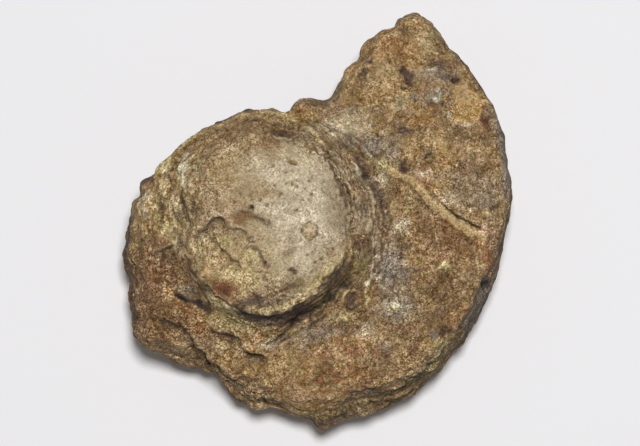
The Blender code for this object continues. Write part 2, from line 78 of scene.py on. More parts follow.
# Rounded lumps of the skin, as (height, size, seed).
SKIN_LUMPS = [(0.30, 3.3, 40), (0.20, 1.6, 41)]
SKIN_UNEVENNESS = (0.14, 0.85, 42)

# Sectors of the stone, as (start, end, fade).
LAYERED_SECTOR = (-66.0, -5.0, 12.0)
CLEAR_BED_SECTOR = (255.0, 345.0, 20.0)
EVEN_SIDE_SECTOR = (-15.0, 35.0, 10.0)
OPEN_SECTORS = [(190.0, 290.0, 10.0), (50.0, 85.0, 6.0)]
BROKEN_SECTOR = (195.0, 265.0, 15.0)
ROUGH_SECTOR = (-60.0, 20.0, 15.0)
# Parts of the upper side, as (sector, distances from the axis), each with its fade.
GROOVE_RIGHT = (-30.0, 60.0, 18.0), (12.6, 17.6, 1.2)
GROOVE_LEFT = (150.0, 196.0, 12.0), (11.0, 19.0, 1.5)
GROOVE_BELOW = (-95.0, -25.0, 15.0), (13.3, 17.0, 1.0)
WRINKLED_LEFT = (156.0, 198.0, 12.0), (11.0, 19.0, 2.5)
FLANK_RING, FLANK_HEIGHTS = (10.5, 16.5, 2.0), (9.0, 12.0)

# Lines that are both a ledge and a crack.
SPIRE_FOLD = [(-9, -2.1), (-7.9, -3), (-6.8, -4), (-5.6, -5.2), (-4.6, -6.2), (-3.7, -6.5)]
SPIRE_DIP = [(-3.7, -4.3), (-2.7, -4), (-1.7, -4.2), (-1.1, -5.1), (-0.7, -6.1), (0.1, -7.3)]
LOWER_FOLD = [(-1, -17.8), (0.4, -17.2), (1.7, -16.3), (3.2, -15), (4.8, -13.8)]
LOWER_CHIP = [(-6.3, -21.7), (-5.1, -22.8), (-3.6, -23.3), (-2.2, -22.5)]

# Ledges, as (height, reach, points about the axis): the ground to the left of the line stands higher.
LEDGES = [
    # The step and the arc on the flat top of the spire.
    (0.4, 1, [(-12.2, -2.4), (-10.4, -2), (-9.3, -1.2), (-8.4, -0.4), (-7.5, 0.3), (-6.7, 0.1),
     (-5.8, -1.1), (-4.5, -1.2), (-3.6, -1.8), (-2.9, -2.6)]),
    (0.16, 0.9, [(-6.1, 0.7), (-4.3, 1), (-2.9, 1), (-1.7, 0.4), (-0.5, -0.2), (0.9, -1.2)]),
    (0.3, 0.8, SPIRE_FOLD), (-0.28, 0.9, SPIRE_DIP),
    (0.4, 1.1, [(-4.6, -11.5), (-2.8, -12.1), (-0.8, -12.4), (1.2, -12.1), (3.3, -11.3), (4.7, -10.5)]),
    (0.22, 0.9, [(-0.8, -9.6), (0.6, -10.3), (2.7, -10.2), (4.6, -9.3), (5.6, -8.4)]),
    # The spire's edge above the groove.
    (0.12, 1, [(-12.8, -4.1), (-12.2, -5.1), (-11.5, -6.6), (-10.6, -7.9), (-9.4, -9.4), (-8, -10.7)]),
    (0.36, 1.4, [(-9.4, -9.4), (-8, -10.7), (-6.4, -11.7), (-4.3, -12.8), (-2.3, -13.6), (-0.2, -13.9),
     (1.8, -13.5), (3.8, -12.8), (5.9, -11.6), (7.6, -10), (9.3, -7.9), (11.5, -5.6)]),
    (0.2, 0.8, [(11.5, -4.3), (12.3, -2.2), (12.3, 0.2), (11.8, 3.1), (11, 5.5), (9.6, 7.8), (8.2, 9.9),
     (6.4, 11.6), (4.7, 12.7)]),
    (0.28, 0.9, [(12.3, -8.6), (11, -9.3), (9.5, -10.5), (7.9, -11.8), (6.3, -13.1), (4.4, -14),
     (2.3, -14.4)]),
    (0.3, 0.8, [(-3.8, 15.7), (-1.8, 15.7), (-0.1, 15.1), (2, 14.8), (4.1, 14.5), (5.8, 13.7)]),
    # The vein's crack and the break above the bright facet.
    (0.38, 0.7, [(23.6, 4.9), (25.5, 3.1), (26.5, 2.2), (27.5, 1.4), (28.7, 0.7), (30, 0.1), (31.2, -0.4),
     (32.4, -0.6)]),
    (0.3, 0.8, [(26.7, 17.5), (26.7, 16.1), (27.3, 15.2), (28.9, 14.9), (30.7, 15.2), (31.5, 16.4),
     (32.2, 17.8)]),
    # Broken places below and to the left of the spire.
    (0.36, 1, [(-16.7, -13.8), (-15.3, -14.4), (-13.8, -14.7), (-12.5, -15.4), (-11.6, -16.6),
     (-10.6, -17.9), (-9.2, -19.1)]),
    (-0.4, 0.9, [(-13.7, -10.2), (-12.2, -10.8), (-10.8, -11.1), (-9.6, -11.8), (-8.4, -12.7)]),
    (0.35, 0.8, [(-8.2, -15.4), (-6.9, -15.7), (-5.7, -16), (-4.5, -16.5), (-3.3, -18.5), (-1.8, -19),
     (-0.4, -19.6)]),
    (0.3, 0.8, LOWER_FOLD), (0.22, 0.8, LOWER_CHIP),
    (0.4, 0.8, [(-2.5, -24.5), (-1.7, -25.4), (-0.8, -25.1), (-0.1, -26.1)]),
    (0.35, 0.8, [(-17.3, -4.5), (-16.1, -3.9), (-14.9, -3.3), (-13.5, -2.7)]),
]  # fmt: skip
# Narrow cracks, as (depth, half width, share of painted shade in their colour, points about the axis).
CRACKS = [
    # The flat top of the spire.
    (0.3, 0.28, 0.6, [(-11.9, -2.4), (-10.4, -2), (-9.3, -1.2), (-8.4, -0.4), (-7.5, 0.3), (-6.7, 0.1),
     (-6.1, -0.4)]),
    (0.3, 0.24, 0.75, [(-5.8, -1.1), (-5, -1.4), (-4.2, -1.4), (-3.6, -1.8), (-2.9, -2.6)]),
    (0.12, 0.22, 0.3, [(-6.1, 0.7), (-4.9, 1), (-3.7, 1), (-2.6, 0.9)]),
    (0.26, 0.26, 0.75, [(-2.3, 0.7), (-2, 0.5), (-1.1, 0), (-0.1, -0.6), (0.9, -1.2)]),
    (0.28, 0.2, 0.7, SPIRE_FOLD), (0.25, 0.22, 0.6, SPIRE_DIP),
    (0.2, 0.2, 0.45, [(-0.8, -7.7), (-0.5, -8.7), (0.1, -9.9), (1.4, -10.3), (3, -10), (4.6, -9.1)]),
    (0.15, 0.16, 0.35, [(7.9, -3.3), (8.5, -3.6), (8.7, -4.2)]),
    (0.15, 0.16, 0.4, [(-2.3, -2), (-2.7, -2.7), (-2.3, -3.3), (-1.4, -3), (-1.6, -2.3)]),
    # The edge of the spire, painted dark below as its shade, and thin on the right.
    (0.1, 0.26, 0.3, [(-12.8, -4.1), (-12.2, -5.1), (-11.5, -6.6), (-10.6, -7.9), (-9.4, -9.4), (-8, -10.7),
     (-6.4, -11.7), (-4.3, -12.8)]),
    (0.2, 0.6, 0.55, [(-5.5, -12.3), (-3.7, -13.2), (-2, -13.9), (0, -14.2), (2.1, -13.8), (4.1, -13),
     (6, -11.7)]),
    (0.18, 0.5, 0.55, [(4.7, -12.6), (6.3, -11.4), (7.7, -10), (9.5, -8), (10.5, -6.7), (11.7, -5.6)]),
    (0.16, 0.22, 0.6, [(7.3, -10.8), (9.1, -9.1), (10.5, -7.4), (11.7, -6.4)]),
    (0.2, 0.24, 0.8, [(12.6, -8.4), (11, -9.2), (9.5, -10.4), (7.9, -11.7), (6.3, -13.1), (4.4, -14),
     (2.3, -14.4)]),
    (0.18, 0.2, 0.5, [(11.1, -10), (9.7, -11.2), (8.2, -12.4), (7, -13.3), (5.5, -14)]),
    (0.22, 0.18, 0.6, [(4.7, 12.6), (5.8, 11.7), (7, 10.7), (8, 9.8), (8.9, 8.4)]),
    (0.14, 0.2, 0.5, [(8.6, 8.9), (9.4, 7.8), (10.1, 6.5), (10.7, 5.2), (11.3, 3.7), (11.4, 1.9)]),
    (0.18, 0.18, 0.4, [(11.4, 1.9), (11.5, -0.1), (11.4, -2.2), (11, -3.7)]),
    (0.2, 0.18, 0.5, [(9.8, 9.1), (10.8, 7.3), (11.7, 5.3), (12.3, 3.2), (12.6, 1.1)]),
    (0.35, 0.26, 0.7, [(-4.5, 15.4), (-2.7, 15.7), (-1, 15.4), (0.5, 14.8), (2.3, 14.7), (4.1, 14.2)]),
    # The vein's crack, painted black as its shadow.
    (0.14, 0.16, 0.35, [(22.5, 5.8), (23.6, 4.9), (24.6, 4), (25.6, 3.1)]),
    (0.7, 0.16, 1, [(25.3, 3.3), (26.5, 2.2), (27.5, 1.4), (28.7, 0.7), (30, 0.1), (31.2, -0.4),
     (32.4, -0.6)]),
    (0.6, 0.3, 1, [(32.2, 2.1), (33.2, 2.7), (34.1, 3.3), (34.9, 3.8)]),
    (0.35, 0.2, 0.7, [(31.3, 1.3), (32.2, 1), (33.1, 1.5), (34.1, 1.9)]),
    (0.25, 0.18, 0.5, [(26.8, 9.7), (28, 9.3), (28.6, 8.7), (29.8, 10), (30.7, 11.2)]),
    # The notch in the edge at the lower right.
    (0.5, 0.5, 1, [(31.6, -8.8), (32.5, -8.2), (33.3, -7.5)]),
    # Below and to the left of the spire.
    (0.36, 0.22, 0.8, [(-16.5, -13.9), (-15.3, -14.4), (-13.8, -14.7), (-12.5, -15.4), (-11.6, -16.5),
     (-10.9, -17.6)]),
    (0.2, 0.24, 0.35, [(-11.3, -17), (-10.3, -18.2), (-9.2, -19.3), (-8.3, -20.3)]),
    (0.75, 0.3, 1.3, [(-14.3, -9.8), (-13.1, -10.4), (-11.9, -11), (-10.6, -11.3), (-9.4, -12.1),
     (-8.4, -13)]),
    (0.45, 0.24, 0.9, [(-9.3, -15), (-8.1, -15.6), (-6.7, -15.7), (-5.4, -16.3), (-4.2, -17.2)]),
    (0.42, 0.24, 0.9, [(-4.2, -17.8), (-3.3, -18.5), (-2.3, -19), (-1.1, -19.3), (-0.1, -19.9)]),
    (0.45, 0.2, 0.9, LOWER_FOLD),
    (0.4, 0.2, 0.7, [(1.1, -17.3), (3.2, -16.2), (5.2, -15.1), (7.3, -13.9), (9.1, -12.9)]),
    (0.22, 0.22, 0.45, LOWER_CHIP),
    (0.7, 0.24, 1, [(-2.3, -24.9), (-1.6, -25.4), (-0.8, -25.1), (-0.1, -26.1)]),
    (0.35, 0.2, 0.6, [(-9.7, -8.7), (-8.4, -10.4), (-6.6, -11.7), (-4.8, -12.9), (-3.1, -13.5)]),
    # The left side.
    (0.55, 0.26, 0.85, [(-17.3, -4.5), (-16.1, -3.9), (-14.9, -3.3), (-13.6, -2.7)]),
    (0.3, 0.3, 0.6, [(-12.9, 5.9), (-12.8, 4.1), (-12.5, 2.3), (-12, 0.5), (-11.4, -0.9)]),
    (0.24, 0.22, 0.4, [(-10.8, 5.6), (-10.8, 3.8), (-11.3, 2), (-11.4, 0.5)]),
    (0.26, 0.24, 0.5, [(-16.2, 4.1), (-16, 2.3), (-15.7, 0.5), (-16, -1.3)]),
    (0.22, 0.22, 0.4, [(-14.3, 4.7), (-14.2, 2.9), (-13.8, 1.1), (-13.5, -1)]),
    (0.35, 0.2, 0.5, [(-15, 7.7), (-14.4, 5.9), (-14.7, 4.4)]),
    (0.35, 0.2, 0.5, [(-13.3, 10.4), (-13.5, 8.6), (-13.2, 6.8)]),
    (0.3, 0.22, 0.5, [(-13.9, 11.6), (-11.8, 13.3), (-9.4, 15), (-6.7, 16.2)]),
]  # fmt: skip
# Pits and lumps, as (x, y, half length, half width, height), with a turn in degrees where they have one.
BUMPS = [
    # The flat top of the spire.
    (-2.4, 1.8, 0.42, 0.45, -0.8), (3.7, 8.6, 0.75, 0.42, -0.4, -35), (-2.9, 7.3, 0.24, 0.22, -0.4),
    (6, -1.6, 1.14, 1.14, -0.16), (6, -1.6, 0.53, 0.53, 0.14), (3.7, -7.4, 0.39, 0.67, -0.3, 10),
    (3.4, -4.5, 0.51, 0.45, 0.22), (-2, -2.7, 0.45, 0.39, 0.25), (-2.4, -5.2, 1.05, 0.97, 0.22),
    (2, 13.4, 1.65, 0.6, -0.22, 4), (0.9, 12.9, 0.36, 0.27, 0.2), (-6.6, -3, 1.35, 1.05, 0.18, 30),
    # The groove's lower right, with its ring and crusts.
    (12.3, -11, 1.27, 1.27, 0.45), (12.3, -11, 0.75, 0.75, -0.18), (14.5, -11, 0.39, 1.43, 0.35, 2),
    (14.7, -8.6, 0.39, 0.9, 0.25), (11.5, 16, 1.8, 1.05, 0.2),
    # The broken mouth.
    (20.1, 22.9, 0.84, 0.66, -0.32, -40), (20.8, 21.7, 0.69, 0.72, -0.3), (19.9, 20.2, 0.39, 0.39, -0.4),
    (28, 21.8, 1.05, 0.6, -0.4, -25), (27.4, 22, 0.24, 0.24, 0.35), (24.4, 23.1, 0.6, 0.39, 0.25),
    (14, 22.6, 0.6, 1.05, -0.45, 15), (15, 24.4, 0.45, 0.6, -0.4, 10), (19.5, 17.9, 0.9, 1.2, 0.25),
    (24.5, 17.8, 0.6, 0.45, -0.25), (20.3, 8.5, 0.97, 0.82, -0.2, -30), (23, 10.1, 0.75, 0.39, -0.18),
    (25.5, 26.7, 0.6, 1.05, -0.3, 30), (29.3, 18.7, 1.95, 1.8, 0.22), (20, 13.9, 0.9, 0.6, -0.25),
    # The last whorl, right and below.
    (26, -6.1, 0.67, 0.48, 0.3), (19.9, 0, 1.2, 0.75, 0.22), (24.4, -16.2, 0.75, 0.75, -0.12),
    (26, -15.3, 0.72, 0.87, -0.22), (30.1, -2, 1.05, 0.75, -0.25), (32.3, 1.3, 0.75, 0.6, 0.3),
    (32.1, -0.9, 0.9, 0.75, 0.25), (4.9, -14.9, 0.6, 0.54, 0.25), (0.2, -17.4, 1.05, 0.48, 0.25, 15),
    (-5.4, -18.5, 2.1, 1.35, 0.3, -20), (-9.2, -19.2, 1.95, 0.75, 0.35, -40),
    (-6.1, -21.6, 2.1, 0.75, 0.4, -38), (-2.8, -24.1, 1.95, 0.75, 0.35, -32), (4.6, -25.1, 5.7, 0.6, 0.3),
    (-17.6, -15.2, 1.8, 1.35, 0.25, -30), (22.4, -8.5, 2.1, 1.35, 0.2),
    # The left side.
    (-18.4, 2.3, 0.97, 2.1, 0.3, 5), (-15, -0.4, 0.82, 1.05, 0.35), (-12.1, 8.3, 0.9, 2.1, 0.25, -10),
    (-15.5, 8.5, 1.2, 0.6, 0.3, 40), (-17.2, -1.3, 1.05, 0.9, -0.25), (-16.1, -10.9, 1.8, 1.35, 0.25),
]  # fmt: skip
# Where the side stands a little out or in from the solid, as (angle, half width in degrees, amount).
SIDE_SHIFTS = [
    (20, 5, -0.25), (35, 4, 0.4), (59, 3, -0.3), (63, 2, 0.2), (81, 2.5, -0.5), (123, 8, 0.4),
    (134, 6, 0.3), (154, 4, 0.35), (168, 3, 0.35),
]  # fmt: skip


def screen(red, green, blue):
    """The linear colour of an 8-bit screen colour."""
    values = np.array([red, green, blue]) / 255.0
    return np.where(values <= 0.04045, values / 12.92, ((values + 0.055) / 1.055) ** 2.4)


BROWN = screen(148, 120, 82)
DUSK = screen(112, 87, 57)
DARK_BROWN = screen(92, 70, 48)
DEEP_BROWN = screen(62, 47, 35)
NEAR_BLACK = screen(44, 35, 29)
TAN = screen(162, 136, 98)
OCHRE = screen(166, 134, 88)
VEIN = screen(178, 150, 106)
# The bright facet's colour: partly the fresh break's own colour and partly painted light.
FACET = screen(186, 154, 104)
ORANGE = screen(151, 111, 65)
RUST = screen(108, 64, 34)
RED = screen(122, 72, 48)
RUDDY = screen(128, 95, 63)
PINK = screen(174, 140, 116)
CREAM = screen(188, 170, 124)
WHITISH = screen(214, 204, 182)
STONE_TAN = screen(161, 140, 107)
PALE_GREY = screen(185, 171, 145)
LIGHT_OLIVE = screen(170, 154, 110)
OLIVE = screen(122, 108, 68)
GREY = screen(128, 112, 90)
COOL_GREY = screen(132, 121, 107)
SLATE = screen(110, 99, 87)
VIOLET = screen(84, 64, 53)
LIGHT_GRAIN = screen(210, 186, 146)
DARK_GRAIN = screen(86, 60, 32)

# Patches of colour, as (x, y, half length, half width, colour, strength, softness), with a turn in degrees
# where they have one, and strokes of colour, as (colour, strength, half width, points), all laid over the
# brown in this order.
PATCHES = [
    # The flat top of the spire.
    (-0.3, -0.2, 14.5, 12.6, STONE_TAN, 1, 0.25, 90), (5.4, 2.1, 9.3, 6.6, PALE_GREY, 0.9, 0.7, 90),
    (1, 7.3, 4.5, 2.7, PALE_GREY, 0.5, 0.9), (4.7, -6.2, 3.9, 3, PALE_GREY, 0.45, 0.9),
    (-0.8, 1.8, 1.2, 0.9, PALE_GREY, 0.7, 0.7, -30), (-6.3, 10.2, 7.5, 3.6, TAN, 0.6, 0.8, 45),
    (-4.1, 13.5, 5.1, 1.8, DUSK, 0.7, 0.7, 12), (0, 11.6, 1.8, 1.3, RUDDY, 0.75, 0.6),
    (-9, 10.1, 3, 1.5, DUSK, 0.5, 0.9, 45), (-11.9, 9.1, 1.3, 0.6, RUDDY, 0.6, 0.7, 40),
    # The violet at (2.2, 13.4) and the dark brown at (1.2, 13.7) are painted shade in the pit near the upper
    # edge of the spire.
    (2.2, 13.4, 1.9, 0.7, VIOLET, 0.85, 0.7), (1.2, 13.7, 2.7, 0.4, DARK_BROWN, 0.7, 0.7),
    (0.9, 12.8, 0.5, 0.3, PINK, 0.9, 0.4), (3.7, 8.6, 0.8, 0.5, BROWN, 0.9, 0.35, -35),
    (-2.4, 1.8, 0.4, 0.4, NEAR_BLACK, 1, 0.3), (-2.9, 7.3, 0.3, 0.2, DEEP_BROWN, 1, 0.4),
    (-9.9, 7.1, 0.9, 0.8, GREY, 0.6, 0.6, 20), (-8.6, 7.9, 1.3, 0.6, RUDDY, 0.45, 0.7, 10),
    (-6.7, 5.8, 2.7, 1.3, BROWN, 0.35, 0.8, 30), (-4, 0.2, 3, 0.7, RUDDY, 0.85, 0.6, 5),
    (-6.2, 2.1, 3, 1.1, RUDDY, 0.4, 0.8), (0, 4.3, 2.1, 1.2, BROWN, 0.5, 0.8, 30),
    (-6.5, -3.4, 1.8, 1.2, LIGHT_OLIVE, 0.7, 0.7), (-10.1, -4.2, 1.5, 2.1, CREAM, 0.65, 0.7),
    (6, -1.6, 1.2, 1.2, TAN, 0.7, 0.35), (3, -4.9, 1.5, 0.6, RUDDY, 0.45, 0.7, 20),
    (3.4, -4.5, 0.5, 0.5, GREY, 0.8, 0.4), (3.7, -7.4, 0.4, 0.7, DARK_BROWN, 0.9, 0.4, 10),
    (-2, -2.7, 0.5, 0.4, GREY, 0.8, 0.4), (2.5, -9.9, 3, 0.8, DUSK, 0.85, 0.7, 20),
    (-5.2, -7.1, 5.4, 4.5, LIGHT_OLIVE, 0.4, 0.9, 30), (-5.2, -7.1, 5.4, 4.5, OCHRE, 0.3, 0.9, 30),
    (-3.7, -8.6, 3.3, 2.4, CREAM, 0.5, 0.8), (-2.6, -5.2, 1.2, 1.1, CREAM, 0.75, 0.6),
    (-6.2, -6.2, 2.1, 0.9, TAN, 0.4, 0.8, 30), (-8.6, -6.8, 1.3, 1.2, OCHRE, 0.6, 0.8),
    (-5.4, -9.7, 3, 1.6, ORANGE, 0.45, 0.9, -20), (-6.2, -9.9, 2.5, 1.5, RUST, 0.95, 0.9, -24),
    (-6.5, -10, 1.3, 0.9, RUST, 0.95, 0.8, -30), (-6.3, -10.2, 1.1, 0.8, DEEP_BROWN, 0.4, 0.9, -30),
    # The violet at (-1.4, -11.8) and (3.3, -10.8) is partly the stone's own violet brown and partly painted
    # shade where the spire's rim rolls over its lower edge.
    (-8.9, -9.3, 0.8, 1.3, OLIVE, 0.8, 0.7, 40), (-1.4, -11.8, 3.6, 0.9, VIOLET, 0.95, 0.7, 2),
    (3.3, -10.8, 1.6, 0.6, VIOLET, 0.5, 0.7, 25), (4.7, -9.6, 1.3, 0.8, OLIVE, 0.4, 0.7, 30),
    (8.3, -7.1, 1.8, 0.9, CREAM, 0.5, 0.8, 45), (6.4, -9.6, 1.8, 0.8, CREAM, 0.55, 0.8, 40),
    # The slope and the groove to the right of the spire.
    (14.2, 3.4, 3.8, 9.9, GREY, 0.7, 0.7), (12.3, 5.6, 1.3, 5.1, TAN, 0.5, 0.8, -8),
    (13.8, -0.3, 1.5, 3.9, TAN, 0.35, 0.8), (14.5, 8.6, 0.9, 2.5, DARK_BROWN, 0.65, 0.8, 22),
    (16.1, 4, 0.9, 1.5, DARK_BROWN, 0.5, 0.8, 20), (11.4, 8.2, 1.2, 0.8, RUDDY, 0.3, 0.8, -20),
    (12.5, 8.3, 1.8, 1.8, PALE_GREY, 0.55, 0.8, -20), (14.4, 2.7, 2.1, 4.5, PALE_GREY, 0.22, 0.9),
    (11, 4.5, 0.5, 1.3, DARK_BROWN, 0.7, 0.6, 10), (13.8, -3, 2.1, 1.2, RUDDY, 0.75, 0.7, -20),
    # The violet at (10.5, -7.8) and the deep brown at (11, -7.2) and (12.9, -8.7) are painted shade in the
    # groove below the spire's lower right edge.
    (13.8, -3.1, 1.3, 0.8, VIOLET, 0.6, 0.7, -20), (10.5, -7.8, 3.6, 1.3, VIOLET, 0.6, 0.8, 52),
    (11, -7.2, 2.7, 0.9, DEEP_BROWN, 0.3, 0.8, 50), (7.9, -11.8, 2.7, 0.9, DUSK, 0.15, 0.8, 35),
    (13.2, -6.6, 1.3, 1.2, OLIVE, 0.45, 0.7), (11.7, 14.5, 3.9, 2.2, PALE_GREY, 0.75, 0.8, -10),
    (12.3, 15.4, 2.1, 1.1, CREAM, 0.4, 0.8), (5.2, 17, 1.3, 0.9, ORANGE, 0.5, 0.8),
    (11.4, -0.7, 0.4, 1.8, COOL_GREY, 0.6, 0.6), (10.5, 11.9, 3.6, 2.2, GREY, 0.75, 0.8, 42),
    (13.6, -6.4, 1.8, 2.4, OLIVE, 0.7, 0.8), (12.9, -8.7, 2.1, 1.3, DEEP_BROWN, 0.55, 0.8, 20),
    (7.3, 14.8, 2.4, 1.5, GREY, 0.6, 0.9, 20), (14.3, -7.1, 0.8, 1.3, LIGHT_OLIVE, 0.5, 0.8),
    # The groove's lower right, with a round lump and pale crusts.
    (12.3, -10.9, 2.2, 2.1, DUSK, 0.5, 0.7), (12.3, -10.9, 1.3, 1.3, DARK_BROWN, 1, 0.2),
    (12.5, -11.1, 0.8, 0.8, VIOLET, 0.8, 0.5), (14.5, -11.1, 0.4, 1.3, CREAM, 1, 0.4, 3),
    (14.7, -8.6, 0.4, 0.9, WHITISH, 0.9, 0.5), (18.2, -6.3, 3.3, 4.5, COOL_GREY, 0.85, 0.8, -8),
    (17.9, -5.4, 1.8, 1.5, SLATE, 0.35, 0.8), (17, -8.7, 0.4, 0.6, WHITISH, 0.6, 0.6, -30),
    (16.1, -7.7, 0.6, 0.3, WHITISH, 0.6, 0.6), (16, -4.3, 0.3, 0.3, WHITISH, 0.7, 0.6),
    (16.4, -10.2, 0.9, 0.9, DARK_BROWN, 0.6, 0.7), (13.8, -13.2, 1.2, 0.6, DUSK, 0.5, 0.7),
    # The last whorl above the vein, and the broken mouth.
    (15.6, 11.8, 1.6, 1.5, COOL_GREY, 0.9, 0.6), (15.9, 11.6, 0.9, 0.9, SLATE, 0.3, 0.7),
    (18.3, 10.9, 1.3, 1.6, COOL_GREY, 0.6, 0.8, 20), (17.1, 8.8, 2.1, 1.2, LIGHT_OLIVE, 0.75, 0.8, -20),
    (16.9, 7, 1.2, 1.1, PALE_GREY, 0.7, 0.7), (19.9, 8.8, 1, 1.3, VIOLET, 1, 0.7, 25),
    (20.9, 8.2, 0.7, 0.5, DARK_BROWN, 0.8, 0.8, -20), (19.9, 13.6, 1.3, 1.2, VIOLET, 0.85, 0.7, 10),
    (23, 10.3, 0.9, 0.5, VIOLET, 0.7, 0.5), (22.7, 7.6, 1.6, 1.1, PINK, 0.45, 0.8),
    (22.8, 7.6, 0.4, 0.4, WHITISH, 0.5, 0.6), (29.8, 6.4, 5.4, 4.5, GREY, 0.6, 0.9, 10),
    (28.6, 8.5, 1.9, 1.3, RUDDY, 0.55, 0.8), (32.3, 8.5, 1.3, 1.8, RUDDY, 0.35, 0.8),
    (27.7, 3.4, 2.4, 1.3, PALE_GREY, 0.5, 0.8, -20), (31.8, 3.7, 2.4, 1.5, COOL_GREY, 0.5, 0.8, 20),
    (25.4, 10.9, 2.1, 3, OCHRE, 0.8, 0.8, 10), (26.3, 12.1, 0.7, 0.8, CREAM, 0.5, 0.6),
    (26.4, 8.9, 0.8, 1.3, OCHRE, 0.5, 0.7, 10), (22.4, 15.7, 2.7, 1.5, OCHRE, 0.75, 0.8),
    (23, 15.5, 1.5, 0.9, ORANGE, 0.7, 0.8), (20.4, 16.3, 1.3, 0.9, DUSK, 0.5, 0.8),
    (23.2, 19.9, 1.3, 0.9, ORANGE, 0.7, 0.8), (25.6, 5.8, 1.8, 0.7, OCHRE, 0.45, 0.6, 10),
    (26.1, 5.5, 1.3, 0.4, DUSK, 0.6, 0.6, 10), (23.4, 5.9, 0.9, 0.6, RED, 0.5, 0.7, -30),
    (11.3, 18.1, 1.5, 0.9, ORANGE, 0.4, 0.8, 30), (18.8, 27, 2.4, 1.3, RUST, 0.4, 0.9, 10),
    (19.2, 25.2, 1.5, 0.6, DARK_BROWN, 0.5, 0.7, -10), (15.3, 26.5, 3.3, 1.2, RUDDY, 0.3, 0.9, 55),
    (17.1, 19.9, 3.9, 2.4, TAN, 0.55, 0.9, 20), (23.2, 25.5, 3.3, 2.1, TAN, 0.4, 0.9, 30),
    (19.2, 25.5, 3.9, 3.3, OCHRE, 0.45, 0.9, 20), (12.4, 19.9, 2.4, 1.8, OCHRE, 0.5, 0.9, 40),
    (17.4, 19, 3.3, 2.4, OCHRE, 0.4, 0.9, 10), (13.8, 22.5, 0.8, 1.6, DEEP_BROWN, 1, 0.8, -20),
    (15, 24.6, 0.7, 0.8, DEEP_BROWN, 1, 0.8, -20), (14.4, 21.7, 1.2, 2.9, DUSK, 0.55, 0.9, -25),
    (12.3, 19.6, 0.6, 0.9, DARK_BROWN, 0.8, 0.7, -30), (16.5, 22, 2.7, 1.5, TAN, 0.5, 0.8, 25),
    (12.4, 22, 0.9, 1.8, TAN, 0.45, 0.8, 30), (20.1, 29.4, 1.5, 0.8, DARK_BROWN, 0.6, 0.8),
    (23.4, 27.1, 1.6, 1.9, LIGHT_OLIVE, 0.6, 0.9), (24.6, 29.9, 1.1, 1.2, OLIVE, 0.5, 0.8, -50),
    (25.6, 26.8, 0.8, 1.3, DARK_BROWN, 0.75, 0.7, 30), (28.3, 25.3, 0.9, 1.3, DARK_BROWN, 0.7, 0.8, 40),
    (20.2, 22.8, 1.3, 0.9, VIOLET, 0.9, 0.6, -35), (19.9, 23.2, 0.6, 0.4, DEEP_BROWN, 0.6, 0.7),
    (21, 21.7, 0.9, 1, VIOLET, 0.9, 0.6), (20.7, 21.8, 0.5, 0.4, DEEP_BROWN, 0.5, 0.7),
    (19.9, 20.2, 0.5, 0.4, DEEP_BROWN, 0.9, 0.4), (20.8, 19.3, 0.8, 0.7, OCHRE, 0.5, 0.5),
    (25.4, 24.1, 2.7, 0.8, VIOLET, 0.8, 0.7, -4), (26, 22.6, 3, 1.3, COOL_GREY, 0.6, 0.8),
    (24.4, 23.1, 0.7, 0.4, WHITISH, 0.5, 0.5, 20), (27.2, 22, 1.6, 0.9, DARK_BROWN, 0.75, 0.8, -20),
    (27.8, 21.8, 1.1, 0.7, DEEP_BROWN, 0.85, 0.7, -25), (26.5, 21.8, 0.8, 0.8, SLATE, 0.6, 0.6),
    (27.5, 22, 0.3, 0.2, CREAM, 0.9, 0.4), (24.8, 19.1, 2.4, 1.8, COOL_GREY, 0.85, 0.8),
    (24.8, 19, 1.6, 1.2, PALE_GREY, 0.45, 0.8), (25.1, 18.5, 0.8, 0.5, WHITISH, 0.5, 0.6),
    (23.6, 17.6, 0.8, 0.4, VIOLET, 0.7, 0.6), (21.5, 18.7, 1.1, 1.1, SLATE, 0.9, 0.7),
    (19.3, 18.1, 0.9, 1.3, LIGHT_OLIVE, 0.6, 0.8), (19.2, 17.8, 0.9, 1.2, COOL_GREY, 0.5, 0.8),
    # The ochre and facet colours from (29.3, 18.4) to (31, 18.2) are partly the bright facet's own colour
    # and partly painted light on a face turned to the lamp. The dusk at (29.2, 13.1) below it, and the rust
    # and deep brown at (32.2, 16) to its right, are painted shadow of its step, the rust partly the stone's
    # own colour.
    (15.8, 16.9, 1.6, 0.9, GREY, 0.6, 0.7, -10), (29.3, 18.4, 2.7, 3.3, OCHRE, 1, 0.18, -12),
    (29.3, 19.7, 1.9, 1.5, FACET, 0.85, 0.5, -10), (28.8, 20.2, 1.6, 1.2, TAN, 0.5, 0.8),
    (27.2, 18.8, 0.8, 1.3, TAN, 0.3, 0.7), (29.1, 16.1, 2.5, 1.1, OCHRE, 1, 0.2, 6),
    (29.1, 16.3, 2.2, 0.8, FACET, 0.7, 0.5, 6), (31, 18.2, 1.1, 1.5, FACET, 0.8, 0.6, -10),
    (29.2, 13.1, 3, 1.3, DUSK, 0.85, 0.5, 3), (32.2, 16.1, 0.9, 1.5, RUST, 0.9, 0.7, 15),
    (32.2, 16, 0.6, 1.3, DEEP_BROWN, 0.45, 0.9, 15), (33.2, 15.4, 0.8, 2.4, SLATE, 0.6, 0.7, 8),
    # The last whorl below the vein.
    (22, 3.4, 2.1, 2.1, TAN, 0.5, 0.9), (22.4, 5.1, 1.3, 0.8, RUDDY, 0.4, 0.9, -30),
    (19.7, 0, 1.5, 1.1, PALE_GREY, 0.7, 0.7, 10), (18.2, -0.9, 1.1, 0.9, COOL_GREY, 0.5, 0.7),
    (20.5, 3.4, 0.5, 1.2, LIGHT_OLIVE, 0.7, 0.6, -10), (26.1, -0.9, 4.8, 1.8, RUDDY, 0.85, 0.8, -30),
    (25.3, -3, 5.7, 2.7, RUDDY, 0.35, 0.9, -10), (29.8, -2, 1.9, 1.3, DARK_BROWN, 0.85, 0.8),
